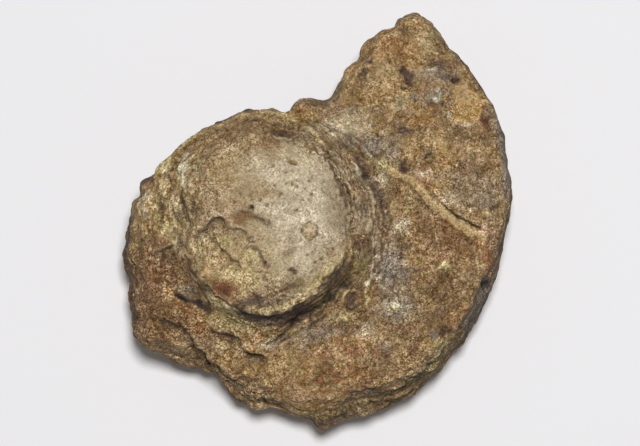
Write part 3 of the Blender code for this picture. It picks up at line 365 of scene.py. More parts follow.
    (31.8, -1.8, 1.3, 0.7, OCHRE, 0.6, 0.6, -15), (31.7, -2.9, 1.5, 0.8, ORANGE, 0.7, 0.7, -10),
    (32.8, -4.9, 0.7, 1.8, RED, 0.75, 0.7, -5), (32.4, -0.6, 1.3, 0.9, PINK, 0.8, 0.5),
    (32.3, 1.3, 1.1, 0.6, CREAM, 0.6, 0.6), (21.6, -5.2, 1.3, 1.2, OCHRE, 0.8, 0.7),
    (22.1, -6.7, 1.3, 0.8, DUSK, 0.7, 0.7), (24.9, -4.3, 1.8, 1.1, PINK, 0.25, 0.8, 10),
    (26, -6.1, 0.9, 0.6, CREAM, 0.95, 0.5, -15), (28.7, -6.9, 0.8, 0.8, CREAM, 0.5, 0.7, -50),
    (23.2, -9.7, 3.9, 2.2, DUSK, 0.65, 0.9, 10), (19.4, -11.9, 2.9, 2.2, COOL_GREY, 0.75, 0.9),
    (18.1, -11.5, 1.3, 1.3, PALE_GREY, 0.6, 0.8), (18.3, -12.2, 0.6, 0.6, LIGHT_OLIVE, 0.7, 0.6),
    (27.4, -9.5, 3.6, 3.3, DUSK, 0.6, 0.9, 20), (22.9, -14, 3.6, 1.9, DUSK, 1, 0.9),
    (21.1, -15.9, 1.8, 0.9, DARK_BROWN, 0.45, 0.9), (27.5, -12.8, 2.1, 2.7, RUDDY, 0.5, 0.9, -20),
    (24.4, -16.2, 0.8, 0.8, COOL_GREY, 0.95, 0.3), (26, -15.3, 0.8, 1, DARK_BROWN, 1, 0.35),
    (21.7, -18.3, 1.2, 0.6, RUST, 0.7, 0.7, -5), (19.4, -15.3, 1.1, 0.4, RUST, 0.6, 0.7),
    (19.7, -16.4, 1.5, 0.9, TAN, 0.5, 0.8), (16.9, -18, 1.3, 1.2, COOL_GREY, 0.5, 0.8),
    (25.7, -17.5, 1.5, 0.8, CREAM, 0.95, 0.7, 35), (23, -19.2, 1.8, 0.7, TAN, 0.6, 0.8, 35),
    (16, -21.1, 2.4, 3, GREY, 0.4, 0.9), (14.4, -15.5, 2.2, 1.3, PALE_GREY, 0.5, 0.9),
    # The bottom of the last whorl.
    (11.3, -18.2, 3.6, 1.3, ORANGE, 0.4, 0.9), (7.9, -19.4, 1.1, 0.9, RED, 0.6, 0.8),
    (10, -22, 1.3, 1.2, RED, 0.4, 0.9), (12, -22.6, 3.6, 2.4, ORANGE, 0.5, 0.9, 10),
    (12, -18.2, 1.3, 0.8, RUST, 0.5, 0.8), (10.8, -21, 1.1, 0.8, CREAM, 0.4, 0.7),
    (3.5, -21.7, 3.9, 2.7, OCHRE, 0.5, 0.9), (2.9, -19.4, 2.4, 1.3, OCHRE, 0.45, 0.8),
    (7.2, -15.5, 3.9, 2.1, COOL_GREY, 0.6, 0.8, 12), (5.8, -17, 3, 1.3, GREY, 0.6, 0.8, 10),
    (4.9, -14.9, 0.6, 0.5, TAN, 0.8, 0.5), (4.6, -20, 1.8, 1.3, DUSK, 0.35, 0.9),
    (7.9, -24.4, 2.1, 1.1, DUSK, 0.35, 0.9, 10), (10.9, -13.4, 1.8, 0.7, CREAM, 0.7, 0.6, 5),
    (3.8, -15.7, 1.2, 0.6, LIGHT_OLIVE, 0.6, 0.8, 10), (5.2, -26.2, 2.7, 0.8, OCHRE, 0.7, 0.8),
    (5.4, -25, 2.1, 0.9, TAN, 0.5, 0.8), (2.9, -20.6, 3.9, 3.6, TAN, 0.35, 0.9),
    # Below and to the left of the spire.
    (-16.7, -10.2, 4.8, 8.7, DUSK, 0.85, 0.6), (-17.6, -7.8, 3.3, 3.9, RUDDY, 0.5, 0.9),
    (-17.6, -7.8, 2.7, 3.6, DARK_BROWN, 0.3, 0.9), (-15, -5.1, 2.1, 1.1, VIOLET, 0.5, 0.9),
    (-14.3, -7.2, 2.1, 1.5, RUDDY, 0.5, 0.9), (-4.8, -14.1, 5.1, 1.5, LIGHT_OLIVE, 0.7, 0.8, -8),
    (-7.8, -11.8, 2.4, 0.8, CREAM, 1, 0.5, -36), (-4.2, -13.5, 1.8, 0.4, CREAM, 0.6, 0.6, -5),
    (-9.3, -9.5, 1.5, 0.6, OLIVE, 0.6, 0.7, -30), (-12.1, -9.5, 1.8, 1.2, COOL_GREY, 0.75, 0.8, -20),
    (-17.6, -8.6, 3.6, 5.1, RUDDY, 0.4, 0.9), (-14.8, -9.8, 0.8, 1.3, OCHRE, 0.7, 0.7, 28),
    (-13.1, -11.7, 1.8, 0.8, ORANGE, 0.7, 0.7, -38), (-10.9, -13.2, 0.9, 1.5, ORANGE, 0.8, 0.7, 25),
    (-12.2, -11.7, 2.4, 1.5, RUST, 0.45, 0.9, -30), (-10.1, -15.3, 0.7, 1.8, ORANGE, 0.6, 0.7, 10),
    (-11.9, -13.5, 1.2, 0.8, RUDDY, 0.5, 0.8, -40), (-17.5, -13.8, 3.3, 3.9, DUSK, 0.35, 0.9, -30),
    (-11.3, -14.1, 5.1, 3.9, DUSK, 0.3, 0.9, -35), (-17.5, -15.9, 2.4, 1.8, ORANGE, 0.25, 0.9, -30),
    (-16, -16.5, 0.9, 0.6, DARK_BROWN, 0.7, 0.7), (-12.5, -16, 1.3, 1.5, DARK_BROWN, 0.6, 0.9, -30),
    (-5.4, -18.2, 4.2, 1.8, TAN, 0.2, 0.9, -20), (-1.6, -16, 0.9, 0.7, ORANGE, 0.7, 0.6),
    (-1.8, -20, 1.8, 0.8, GREY, 0.6, 0.8, -10), (-2.1, -18.1, 0.9, 0.5, ORANGE, 0.7, 0.7, -10),
    (0.1, -17.5, 1.3, 0.6, PALE_GREY, 0.75, 0.7, 15), (-5.1, -22.2, 1.8, 0.8, VIOLET, 0.45, 0.7, -15),
    (-3.7, -24.3, 1.9, 0.9, OLIVE, 0.6, 0.8, -25), (-0.9, -25.9, 1.5, 0.8, TAN, 0.5, 0.8, -15),
    (-8.3, -20, 2.7, 1.1, BROWN, 0.6, 0.8, -40), (-4.2, -23.4, 3, 1.1, BROWN, 0.5, 0.8, -36),
    (-9.2, -19.1, 1.5, 1.8, DARK_BROWN, 0.45, 0.9, 30), (-6, -20.3, 2.4, 0.9, OCHRE, 0.45, 0.8, -35),
    # The left side.
    (-15.3, 3.3, 5.1, 6.6, TAN, 0.6, 0.8), (-15.3, 2.9, 4.5, 5.4, LIGHT_OLIVE, 0.3, 0.9),
    (-18.4, 2.3, 1.2, 2.9, STONE_TAN, 0.9, 0.8, 5), (-14.4, 3.2, 1.8, 3, STONE_TAN, 0.5, 0.9),
    (-18.4, 2.3, 0.8, 2.1, CREAM, 0.25, 0.9, 5), (-18, 4.7, 0.9, 0.6, PALE_GREY, 0.6, 0.7),
    (-15.1, -0.4, 1.2, 1.3, CREAM, 0.85, 0.8), (-12.1, 8, 1.6, 3, CREAM, 0.95, 0.8, -16),
    (-12.1, 8.3, 1.2, 2.1, WHITISH, 0.75, 0.9, -16), (-15.5, 8.5, 1.5, 0.7, CREAM, 0.95, 0.6, 38),
    # The ruddy at (-16.4, -2.5) and the dark brown at (-16.4, -2.4) are partly the stone's reddish brown and
    # partly painted shadow by the step on the left; the dusk at (-10.7, 2.3) is painted shadow at the
    # spire's left edge.
    (-17.7, 6.5, 2.1, 0.8, RUDDY, 0.6, 0.8, 38), (-16.4, -2.5, 2.2, 1.1, RUDDY, 0.75, 0.8, 12),
    (-16.4, -2.4, 1.5, 0.6, DARK_BROWN, 0.5, 0.8, 12), (-13.8, -2.4, 0.6, 0.4, CREAM, 0.6, 0.6),
    (-10.7, 2.3, 0.6, 1.9, DUSK, 0.7, 0.7), (-12.1, 10.7, 1.1, 0.8, DUSK, 0.6, 0.7, 30),
    (-14.4, 5.6, 0.9, 2.1, DUSK, 0.3, 0.9),
]  # fmt: skip
VEIN_LINE = [
    (17.1, 8.5), (18.7, 7.8), (20.2, 7.2), (21.2, 6.6), (22.1, 5.5), (23, 4.3), (24.1, 3.1), (25.3, 2),
    (26.5, 1.1), (27.7, 0.1), (29, -0.7), (30.5, -1.4), (32.5, -1.5),
]  # fmt: skip
STROKES = [
    # The vein and its pale edges.
    (LIGHT_OLIVE, 0.7, 0.51, [(14.4, 10.9), (15.6, 9.7), (17.1, 8.8), (18.8, 8.1)]),
    (WHITISH, 0.6, 0.15, [(13.7, 12.6), (14.4, 11.4), (15.3, 10.2), (16.3, 9)]),
    (VEIN, 0.9, 0.48, VEIN_LINE[:7]),
    (VEIN, 0.95, 0.58, [(23.6, 3.7), (24.7, 2.5), (26.1, 1.5), (27.2, 0.5), (28.4, -0.4), (29.7, -1.1),
     (31.2, -1.5), (32.8, -1.4)]),
    (CREAM, 0.5, 0.21, [(25.3, 2.7), (26.5, 1.7), (27.7, 0.9), (29, 0.1), (30.3, -0.5), (31.5, -0.9)]),
    (ORANGE, 0.6, 0.24, [(25.3, 1.3), (26.8, 0), (28.2, -1.1), (29.7, -1.8)]),
    (PINK, 0.7, 0.18, [(33.4, -1.1), (33.8, -2.5), (34, -4.3)]),
    # Painted highlights along the lit edges of the bright facet.
    (WHITISH, 0.5, 0.1, [(26.7, 17.5), (26.7, 16.3), (26.9, 15.2)]),
    (WHITISH, 0.45, 0.1, [(26.7, 15.1), (27.8, 15), (29.3, 14.9), (30.7, 15.2)]),
    # The edge of the spire: a painted highlight in cream along its rim, and painted shadow in violet and
    # near black below its lower edge.
    (CREAM, 0.5, 0.2, [(-3.4, -12.5), (-1.4, -12.9), (0.6, -12.9), (2.7, -12.3), (4.7, -11.4), (6.6, -10)]),
    (CREAM, 0.6, 0.3, [(5.9, -10.3), (7.6, -8.5), (9.1, -6.9), (10.5, -5.3), (11.5, -3.7)]),
    (CREAM, 0.6, 0.18, [(12.3, -0.2), (12.3, -2.2), (11.7, -4), (10.5, -5.5)]),
    (VIOLET, 0.85, 0.6, [(-5.2, -12.8), (-3.1, -13.8), (-0.8, -14.5), (1.8, -14.5), (4.1, -13.7),
     (5.7, -12.6)]),
    (NEAR_BLACK, 0.6, 0.54, [(-5.2, -12.5), (-3.1, -13.5), (-0.8, -14.1), (1.6, -14.1), (3.8, -13.3),
     (5.6, -12.2)]),
    (DARK_BROWN, 0.7, 0.27, [(7.6, 11.1), (8.8, 9.6), (9.8, 7.8), (10.7, 5.9), (11.3, 4), (11.5, 1.6)]),
    (PINK, 0.5, 0.15, [(-12.5, -6.1), (-11.8, -7.5), (-10.7, -9), (-9.6, -10.2)]),
    (DARK_BROWN, 0.45, 0.45, [(-12.7, -4.3), (-12.1, -5.5), (-11.3, -6.9), (-10.3, -8.4), (-9, -9.9),
     (-7.4, -11.2), (-5.5, -12.3)]),
    # The ring on the flat top.
    (DARK_BROWN, 0.75, 0.12, [(4.8, -1.4), (5.1, -0.7), (5.9, -0.3), (6.7, -0.4), (7.2, -1.2), (7.2, -2.1),
     (6.4, -2.9), (5.6, -2.8), (4.9, -2.1), (4.8, -1.2)]),
    (DARK_BROWN, 0.55, 0.12, [(7.2, -1), (7.2, -2.1), (6.4, -2.9), (5.4, -2.7)]),
    (DEEP_BROWN, 0.9, 0.12, [(3.1, 9.2), (2.9, 8.8), (3.3, 8.3), (4, 8.2), (4.4, 8.4)]),
    (DUSK, 0.8, 0.12, [(-2.6, -2.1), (-2.6, -3), (-2, -3.3), (-1.4, -2.9)]),
    # The violet border of the upper left edge.
    (RUDDY, 0.7, 0.48, [(-19.8, 4.8), (-18.9, 6.7), (-17.4, 8.2), (-15.7, 10), (-13.7, 12), (-11.7, 13.8),
     (-9.4, 15.5), (-7.2, 16.7), (-5.3, 17.5)]),
    (VIOLET, 0.75, 0.3, [(-19.9, 5.1), (-19.1, 7), (-17.6, 8.5), (-15.8, 10.3), (-13.9, 12.3),
     (-11.8, 14.1), (-9.6, 15.8), (-7.4, 17), (-5.4, 17.8)]),
    (VIOLET, 0.7, 0.36, [(-5.9, 17.6), (-4.4, 17.9), (-2.9, 18.2), (-1.1, 18.7), (0.7, 18.8), (2.1, 18.1)]),
    # The upper edge of the stone.
    (CREAM, 0.7, 0.21, [(-17.6, 7.1), (-15.2, 9.5), (-13.5, 11.1), (-11.7, 12.8), (-9, 14.6), (-5.5, 16.3),
     (-2.5, 16.8)]),
    (CREAM, 0.6, 0.36, [(-2.5, 16.8), (0.2, 16.9), (2.8, 16.3), (5.1, 15.1), (7, 13.4), (8.5, 11.4)]),
    (DARK_BROWN, 0.7, 0.66, [(13.1, 11.3), (13.8, 9.5), (14.9, 7.4), (16, 5.3), (17.1, 2.9), (17.4, 0.5),
     (17.2, -1.9)]),
    (DEEP_BROWN, 0.7, 0.36, [(12.8, 11.1), (13.5, 9.3), (14.4, 7.5), (15.3, 6.3)]),
    (DEEP_BROWN, 0.6, 0.27, [(15.6, 5.9), (16.5, 4.1), (17.1, 2), (17.2, -0.4)]),
    # The groove's lower right.
    (WHITISH, 0.7, 0.1, [(15.3, -1.3), (15.5, -2.8), (15.4, -4.6), (15.3, -6.3), (15.1, -8.1)]),
    (CREAM, 0.9, 0.15, [(11.1, -11.7), (11, -10.6), (11.5, -9.8), (12.5, -9.4), (13.5, -9.8)]),
    (DEEP_BROWN, 0.8, 0.12, [(11.4, -12), (12.3, -12.4), (13.3, -11.8), (13.6, -10.8)]),
    (OLIVE, 0.6, 0.24, [(10, -9.9), (8.8, -10.9), (7.6, -12), (6.3, -12.9)]),
    # Painted shadow below the spire's lower edge.
    (DEEP_BROWN, 0.7, 0.67, [(2.3, -14.2), (4.1, -13.6), (5.8, -12.7), (7.3, -12)]),
    # The layered side, seen from above at the lower right.
    (DUSK, 0.5, 0.75, [(10, -26.9), (13.6, -25.9), (17.5, -24.5), (20.6, -22.9), (23.8, -20.6),
     (26.8, -18.1), (29.2, -15.5)]),
    (SLATE, 0.85, 0.9, [(28.9, -15.2), (30.8, -12.5), (32.3, -9.5), (33.2, -7.2)]),
    (GREY, 0.6, 0.45, [(32.9, -8.3), (33.8, -5.8), (34.6, -3.4)]),
    (OLIVE, 0.8, 0.24, [(11.3, -26.8), (15.1, -25.7), (18.8, -24.2), (21.8, -22.3), (24.9, -19.7),
     (27.4, -17)]),
    (NEAR_BLACK, 0.7, 0.1, [(9.1, -26.2), (12.1, -25.1), (15.4, -24.1), (18.7, -22.7), (21.4, -20.9),
     (24.1, -18.8), (26.8, -16.4)]),
    (NEAR_BLACK, 0.7, 0.1, [(13.6, -26.2), (17.2, -25), (20.2, -23.5), (22.9, -21.4), (25.6, -18.8),
     (28, -16.1)]),
    (CREAM, 0.5, 0.17, [(19.6, -23.3), (22.3, -21.2), (25, -18.8), (27.4, -16.4)]),
    # Painted shade along the lower right edge.
    (DEEP_BROWN, 0.6, 0.33, [(30.1, -15.2), (32, -12.2), (33.3, -9.5), (34.4, -6.7)]),
    # The tip at the bottom edge, with painted shadow in olive and deep brown.
    (OLIVE, 0.5, 0.9, [(4, -26.8), (6.1, -27.7), (8.2, -28.3), (10.3, -27.5), (12.4, -26.6)]),
    (DEEP_BROWN, 0.7, 0.67, [(4.6, -27.5), (6.4, -28.3), (8.2, -28.9), (10.3, -28), (12.4, -27.1)]),
    # Painted shade in the folds to the left of the spire and in the valleys between the ridges on the left
    # side, and painted shadow at the spire's left edge.
    (DEEP_BROWN, 0.8, 0.24, [(-14.3, -10), (-13.1, -10.5), (-11.9, -11.1), (-10.6, -11.4), (-9.4, -12.3),
     (-8.3, -13.1)]),
    (DARK_BROWN, 0.6, 0.36, [(-16.3, -14), (-14.8, -14.6), (-13.3, -14.9), (-12.2, -15.8), (-11.1, -17.1),
     (-10.1, -18.3)]),
    (DARK_BROWN, 0.6, 0.27, [(-9.2, -15.2), (-7.9, -15.8), (-6.6, -16), (-5.4, -16.6), (-4.2, -17.6),
     (-2.7, -18.9), (-0.9, -19.4)]),
    (DARK_BROWN, 0.7, 0.36, [(-13.2, 5.1), (-12.7, 3.3), (-12.3, 1.5), (-11.7, -0.3)]),
    (DARK_BROWN, 0.5, 0.27, [(-16.2, 5.2), (-15.9, 3.3), (-15.7, 1), (-15.2, -1.1)]),
    (DUSK, 0.6, 0.39, [(-10.7, 4.2), (-11.1, 2.4), (-11.5, 0.7)]),
    # Painted light on the steep slope at the upper left of the broken mouth, painted shade on the steep left
    # and upper right edges, and the slate grey of the right edge.
    (OCHRE, 0.85, 1.05, [(11.2, 21.3), (12.6, 24.5), (14.4, 27.4), (16.9, 29.8), (19.2, 31.9)]),
    (DARK_BROWN, 0.75, 0.9, [(-19.7, 7.1), (-20.8, 5), (-21.3, 1.2), (-21.6, -2.6), (-21.6, -6.4),
     (-20.8, -10.2), (-20, -14)]),
    (DEEP_BROWN, 0.6, 0.33, [(-21.9, -1.1), (-21.9, -4.4), (-21.6, -7.9)]),
    (COOL_GREY, 0.75, 0.75, [(34, 17.6), (34.7, 14.2), (35.3, 11.4), (35.6, 8.7), (35.5, 6.2),
     (35.2, 4.1)]),
    (DARK_BROWN, 0.7, 0.45, [(26.8, 28.4), (28.9, 25.9), (31, 22.8), (32.8, 19.7), (34, 16.6)]),
]  # fmt: skip
# Places where the skin is smoother, as (x, y, half length, half width).
SMOOTH_PLACES = [
    (29.1, 19.6, 2.2, 2.1), (29.8, 11.8, 3.9, 3), (24.4, -16.2, 0.8, 0.8), (12.3, -10.9, 1.2, 1.2),
    (12.3, 15.1, 3, 1.8), (-11.6, -10.8, 2.1, 1.5),
]  # fmt: skip
# Places with orange and red flecks, as (x, y, half length, half width, strength).
FLECKS = [
    (11.3, -20.1, 6.9, 3.9, 0.8), (4.7, -23.9, 4.5, 2.4, 0.6), (-17.2, -10.9, 3.9, 5.4, 0.3),
    (-11.9, -15.9, 2.1, 1.8, 0.4), (30.4, -4.2, 3.9, 3.3, 0.6), (18.8, 26.8, 3.3, 3.3, 0.6),
    (22.5, 16.2, 3.9, 2.1, 0.5),
]  # fmt: skip
# Soft clouds of colour in the rock, as (colour, strength, size, where its noise starts and is full, seed).
CLOUDS = [
    (OCHRE, 0.4, 3.6, 0.0, 0.4, 61), (GREY, 0.5, 4.6, 0.05, 0.4, 62), (TAN, 0.6, 2.2, 0.1, 0.4, 65),
    (DUSK, 0.7, 2.6, 0.05, 0.45, 63),
]  # fmt: skip
# Scattered grains, as (spacing, size as a share of it, colour, strength, seed).
GRAINS = [
    (1.2, 0.24, LIGHT_GRAIN, 0.55, 71), (1.0, 0.26, CREAM, 0.5, 72), (1.1, 0.34, DARK_GRAIN, 0.85, 73),
    (0.9, 0.30, DARK_GRAIN, 0.5, 75),
]  # fmt: skip


def smooth(low, high, x):
    """0 at low and 1 at high, with an even S between, also where low is the larger number."""
    t = np.clip((x - low) / (high - low), 0.0, 1.0)
    return t * t * (3.0 - 2.0 * t)


def within(x, start, end, fade):
    """1 between start and end, falling to 0 over the fade on both sides."""
    return smooth(start - fade, start, x) * smooth(end + fade, end, x)


def in_sector(angle, start, end, fade):
    """1 in the sector from start to end, also where it passes 180 degrees, falling to 0 over the fade."""
    middle = (start + end) / 2
    return within((angle - middle + 180.0) % 360.0 + middle - 180.0, start, end, fade)


def random_field(coords, seed):
    """Smooth random values between -1 and 1, one for each row of coordinates."""
    offset = Vector((seed * 17.3, seed * 5.1, seed * 9.7))
    return np.array([noise.noise(Vector(c) + offset) for c in coords])


def cells(coords, seed):
    """The distance to the nearest of many scattered points, for pits and grains."""
    offset = Vector((seed * 13.1, seed * 3.7, seed * 8.9))
    return np.array([noise.voronoi(Vector(c) + offset)[0][0] for c in coords])


def near_line(line, xy):
    """The distance to a bent line, positive on its left, and a taper that is 0 past its ends."""
    line = np.array(line)
    lengths = np.linalg.norm(np.diff(line, axis=0), axis=1)
    best, side, place = np.full(len(xy), np.inf), np.ones(len(xy)), np.zeros(len(xy))
    run = 0.0
    for a, b, length in zip(line[:-1], line[1:], lengths):
        ahead = (b - a) / length
        along = np.clip((xy - a) @ ahead, 0.0, length)
        gap = xy - a - along[:, None] * ahead
        distance = np.hypot(gap[:, 0], gap[:, 1])
        closer = distance < best
        best = np.where(closer, distance, best)
        side = np.where(closer, np.sign(ahead[0] * gap[:, 1] - ahead[1] * gap[:, 0]), side)
        place = np.where(closer, run + along, place)
        run += length
    end = min(0.25 * run, 1.2)
    return best * side, smooth(0.0, end, place) * smooth(run, run - end, place)


def share_of(xy, x, y, length, width, turn=0.0):
    """How far each point is from an oval's middle: 1 on its edge."""
    c, s = math.cos(math.radians(turn)), math.sin(math.radians(turn))
    dx, dy = xy[:, 0] - x, xy[:, 1] - y
    return np.hypot((dx * c + dy * s) / length, (dy * c - dx * s) / width)


def read(collection, name, width):
    """One property of every member of a mesh's collection, as rows of this width."""
    flat = np.empty(len(collection) * width)
    collection.foreach_get(name, flat)
    return flat.reshape(-1, width)


class Places:
    """The points of the stone about the axis, with what its relief and colours are worked out from."""

    def __init__(self, points, normals):
        self.points, self.normals = points, normals
        self.xy, self.height = points[:, :2], points[:, 2]
        self.angle = np.degrees(np.arctan2(points[:, 1], points[:, 0]))
        self.radius = np.hypot(points[:, 0], points[:, 1])
        self.upper = smooth(-0.1, 0.2, normals[:, 2]) * smooth(1.5, 4.0, self.height)
        self.steepness = 1.0 - np.abs(normals[:, 2])
        self.ragged = self.wandering(*RAGGED)
        self.wander = self.wandering(*WANDER) + self.ragged
        self.find_streaks()
        self.find_sides()
        self.skin = self.skin_roughness()
        # How much painted shade each crack puts on the stone is kept here.
        self.cracks = []  # how dark each crack makes the stone, found with its relief

    def find_streaks(self):
        """The ropes in the groove and the wrinkles beside it, which follow the coil."""
        bent = self.xy + 0.6 * self.wander
        bent_radius = np.hypot(bent[:, 0], bent[:, 1])
        along = np.radians((self.angle - STREAKS_START) % 360.0) * STREAKS_RADIUS
        self.coil = np.column_stack([bent_radius, along, self.height])
        right, left, below = (self.part(*part) for part in (GROOVE_RIGHT, GROOVE_LEFT, GROOVE_BELOW))
        self.ropes = self.streaks(bent_radius / 0.62, along / 3.0, 31) * right
        self.fibres = np.clip(right + 0.8 * left + 0.7 * below, 0.0, 1.0)
        self.wrinkles = self.streaks(bent[:, 0], bent[:, 1] / 2.3, 33) * self.part(*WRINKLED_LEFT)

    def find_sides(self):
        """Where the side is layered, where it lies open to the light, and where its beds show."""
        self.layered = in_sector(self.angle, *LAYERED_SECTOR)
        lower_left, wing = (in_sector(self.angle, *sector) for sector in OPEN_SECTORS)
        self.open_side = np.maximum(lower_left, wing) * smooth(5.0, 9.0, self.height)
        self.beds = 0.9 * smooth(0.4, 0.7, self.steepness) * smooth(18.0, 14.0, self.height)

    def skin_roughness(self):
        """How rough the skin is.

        It is worn smooth on the spire's right, the vein and a few more places, and rough where the lower
        left is broken and on the last whorl's right. The strands in the groove keep their roughness.
        """
        worn = smooth(13.5, 9.0, np.hypot(self.xy[:, 0] - 5.0, self.xy[:, 1] - 1.5)) * self.upper
        lower_left = in_sector(self.angle, *BROKEN_SECTOR) * smooth(13.0, 16.0, self.radius)
        right = in_sector(self.angle, *ROUGH_SECTOR) * smooth(16.0, 19.0, self.radius)
        skin = 1.0 - 0.4 * worn * (1.0 - self.fibres) + 0.4 * lower_left + 0.25 * right
        vein, taper = near_line(VEIN_LINE, self.xy + 0.3 * self.ragged)
        skin -= 0.45 * taper * smooth(0.9, 0.4, np.abs(vein))
        for place in SMOOTH_PLACES:
            skin -= 0.25 * smooth(1.2, 0.8, share_of(self.xy, *place))
        return np.clip(skin, 0.45, 1.5)

    def part(self, sector, distances):
        """1 in this part of the upper side, falling to 0 over its fades."""
        return in_sector(self.angle, *sector) * within(self.radius, *distances)

    def streaks(self, across, along, seed):
        """Random streaks, with finer ones in them."""
        coords = np.column_stack([across, along, self.height * 0.12])
        return random_field(coords, seed) + 0.6 * random_field(coords * 2.1, seed + 1)

    def wandering(self, reach, size, seed):
        """A random step across the plan for each point."""
        coords = self.points / size
        return reach * np.stack([random_field(coords, seed), random_field(coords, seed + 1)], axis=-1)

    def bed_field(self, across, height, seed):
        """Random values that run along the beds of the side."""
        return random_field(np.column_stack([across, height, self.height * 0]), seed)


def linked(name, data):
    """A new object in the scene."""
    obj = bpy.data.objects.new(name, data)
    bpy.context.scene.collection.objects.link(obj)
    return obj


def thinned(stone):
    """Fewer faces on the base and the steep sides, and all of them on the upper side."""
    facing_up = read(stone.data.vertex_normals, "vector", 3)[:, 2]
    hidden = stone.vertex_groups.new(name="hidden")
    for share, low, high in [(1.0, -2.0, -0.2), (0.4, -0.2, 0.1)]:
        chosen = np.flatnonzero((facing_up >= low) & (facing_up < high))
        hidden.add(chosen.tolist(), share, "REPLACE")
    thin = stone.modifiers.new("thin", "DECIMATE")
    thin.vertex_group = "hidden"
    thin.ratio = MOST_TRIANGLES / (2 * len(stone.data.polygons))
    applied(stone)


def applied(stone):
    """Turns what the modifiers make into the stone's own mesh."""
    evaluated = stone.evaluated_get(bpy.context.evaluated_depsgraph_get())
    stone.data = bpy.data.meshes.new_from_object(evaluated)
    stone.modifiers.clear()


def refined_stone(node):
    """A copy of the CAD stone with small even faces, its facets evened out."""
    stone = linked("fossil_stone", node.data.copy())
    weld = stone.modifiers.new("weld", "WELD")
    weld.merge_threshold = 1e-6
    remesh = stone.modifiers.new("remesh", "REMESH")
    remesh.mode = "VOXEL"
    remesh.voxel_size = FACE_SIZE * MM
    even = stone.modifiers.new("even", "SMOOTH")
    even.factor = 0.5
    even.iterations = EVENING_STEPS
    applied(stone)
    thinned(stone)
    stone.vertex_groups.clear()
    stone.data.materials.clear()
    return stone


def averaged(points, edges, steps):
    """The points after moving towards the mean of their neighbours, this many times."""
    count = np.bincount(edges.ravel(), minlength=len(points))[:, None]
    for _ in range(steps):
        total = np.zeros_like(points)
        for k in range(points.shape[1]):
            total[:, k] += np.bincount(edges[:, 0], points[edges[:, 1], k], len(points))
            total[:, k] += np.bincount(edges[:, 1], points[edges[:, 0], k], len(points))
        points = 0.4 * points + 0.6 * total / count
    return points


def even_flank(points, edges):
    """The spire's flank with the terraces of the coarse solid smoothed away."""
    radius = np.hypot(points[:, 0], points[:, 1])
    share = within(radius, *FLANK_RING) * smooth(*FLANK_HEIGHTS, points[:, 2])
    return points + share[:, None] * (averaged(points, edges, SPIRE_FLANK_STEPS) - points)


def bent_plan(p, height):
    """The plan, bent unevenly to break up a ledge or crack of this height; taller ones run straighter."""
    return p.xy + 0.28 / (0.1 + abs(height)) * p.ragged


def ledge_relief(p):
    """Steps in the surface, which even out away from their lines."""
    total = np.zeros(len(p.xy))
    for height, reach, line in LEDGES:
        distance, taper = near_line(line, bent_plan(p, height))
        total += 0.5 * height * taper * np.tanh(distance / 0.22) * np.exp(-((distance / reach) ** 2))
    return total


def crack_relief(p):
    """The cracks, worn to an uneven depth. The painted shade in each one goes with the places, for their
    colours.
    """
    wear = np.clip(0.85 + 0.9 * random_field(p.points / 1.9, 45), 0.25, 1.5)
    total = np.zeros(len(p.xy))
    for depth, width, share, line in CRACKS:
        distance, taper = near_line(line, bent_plan(p, depth))
        away = np.abs(distance)
        total -= depth * taper * wear * np.exp(-((away / width) ** 1.6))
        p.cracks.append(share * taper * np.clip(wear, 0.5, 1.0) * smooth(1.5 * width, 0.4 * width, away))
    return total


def vein_relief(p):
    """The vein stands a little proud, with a furrow on each side."""
    distance, taper = near_line(VEIN_LINE, p.xy + 0.3 * p.ragged)
    away = np.abs(distance)
    furrow = VEIN_FURROW_DEPTH * np.exp(-(((away - 0.80) / 0.2) ** 2))
    return taper * (VEIN_HEIGHT * smooth(0.85, 0.30, away) - furrow)


def bump_relief(p):
    """Pits and lumps with uneven edges."""
    xy = p.xy + 1.1 * p.ragged
    total = np.zeros(len(xy))
    for x, y, length, width, height, *turn in BUMPS:
        total += height * smooth(1.3, 0.6, share_of(xy, x, y, length, width, *turn))
    return total


def wall_beds(p):
    """Thin beds that crop out of the wall, parted by narrow cracks."""
    along = np.radians(p.angle) * WALL_RADIUS
    depth = (p.height + 1.1 * p.bed_field(along / 7.0, p.height / 4.0, 35)) / WALL_BED_SPACING
    bed = np.floor(depth)
    crack = np.exp(-(((depth % 1.0 - 0.5) / 0.14) ** 2))
    broken = smooth(-0.25, 0.2, p.bed_field(along / 4.0, bed, 36))
    clear = 0.7 + 0.3 * in_sector(p.angle, *CLEAR_BED_SECTOR)
    ledges = WALL_LEDGE_HEIGHT * p.bed_field(along / 9.0, bed * 3.7, 37)
    return (ledges - WALL_CRACK_DEPTH * crack * broken) * clear * smooth(0.35, 0.75, p.steepness)


def side_relief(p):
    """Broad swellings and hollows of the side, at all heights above the base."""
    total = np.zeros(len(p.xy))
    for angle, half_width, amount in SIDE_SHIFTS:
        away = (p.angle - angle + 180.0) % 360.0 - 180.0
        total += amount * np.exp(-((away / half_width) ** 2))
    return total * smooth(0.3, 0.7, p.steepness) * smooth(2.0, 6.0, p.height)


def billow(coords, seed):
    """Rounded lumps parted by narrow valleys, about 0 on average."""
    return 2.0 * np.abs(random_field(coords, seed)) - 0.45


def grain(p):
    """The rough skin of the stone: worn lumps, and pits where grains fell out."""
    lumps = sum(height * billow(p.points / size, seed) for height, size, seed in SKIN_LUMPS)
    height, size, seed = SKIN_UNEVENNESS
    lumps += height * random_field(p.points / size, seed)
    pits = smooth(0.32, 0.10, cells(p.points / 1.5, 43)) * smooth(0.0, 0.5, random_field(p.points / 3.0, 44))
    evenness = 0.35 + 0.3 * in_sector(p.angle, *EVEN_SIDE_SECTOR)
    on_edge = 1.0 - evenness * smooth(0.5, 0.8, p.steepness)
    return (lumps - PIT_DEPTH * pits) * (1.6 * p.skin - 0.6) * on_edge - 0.05


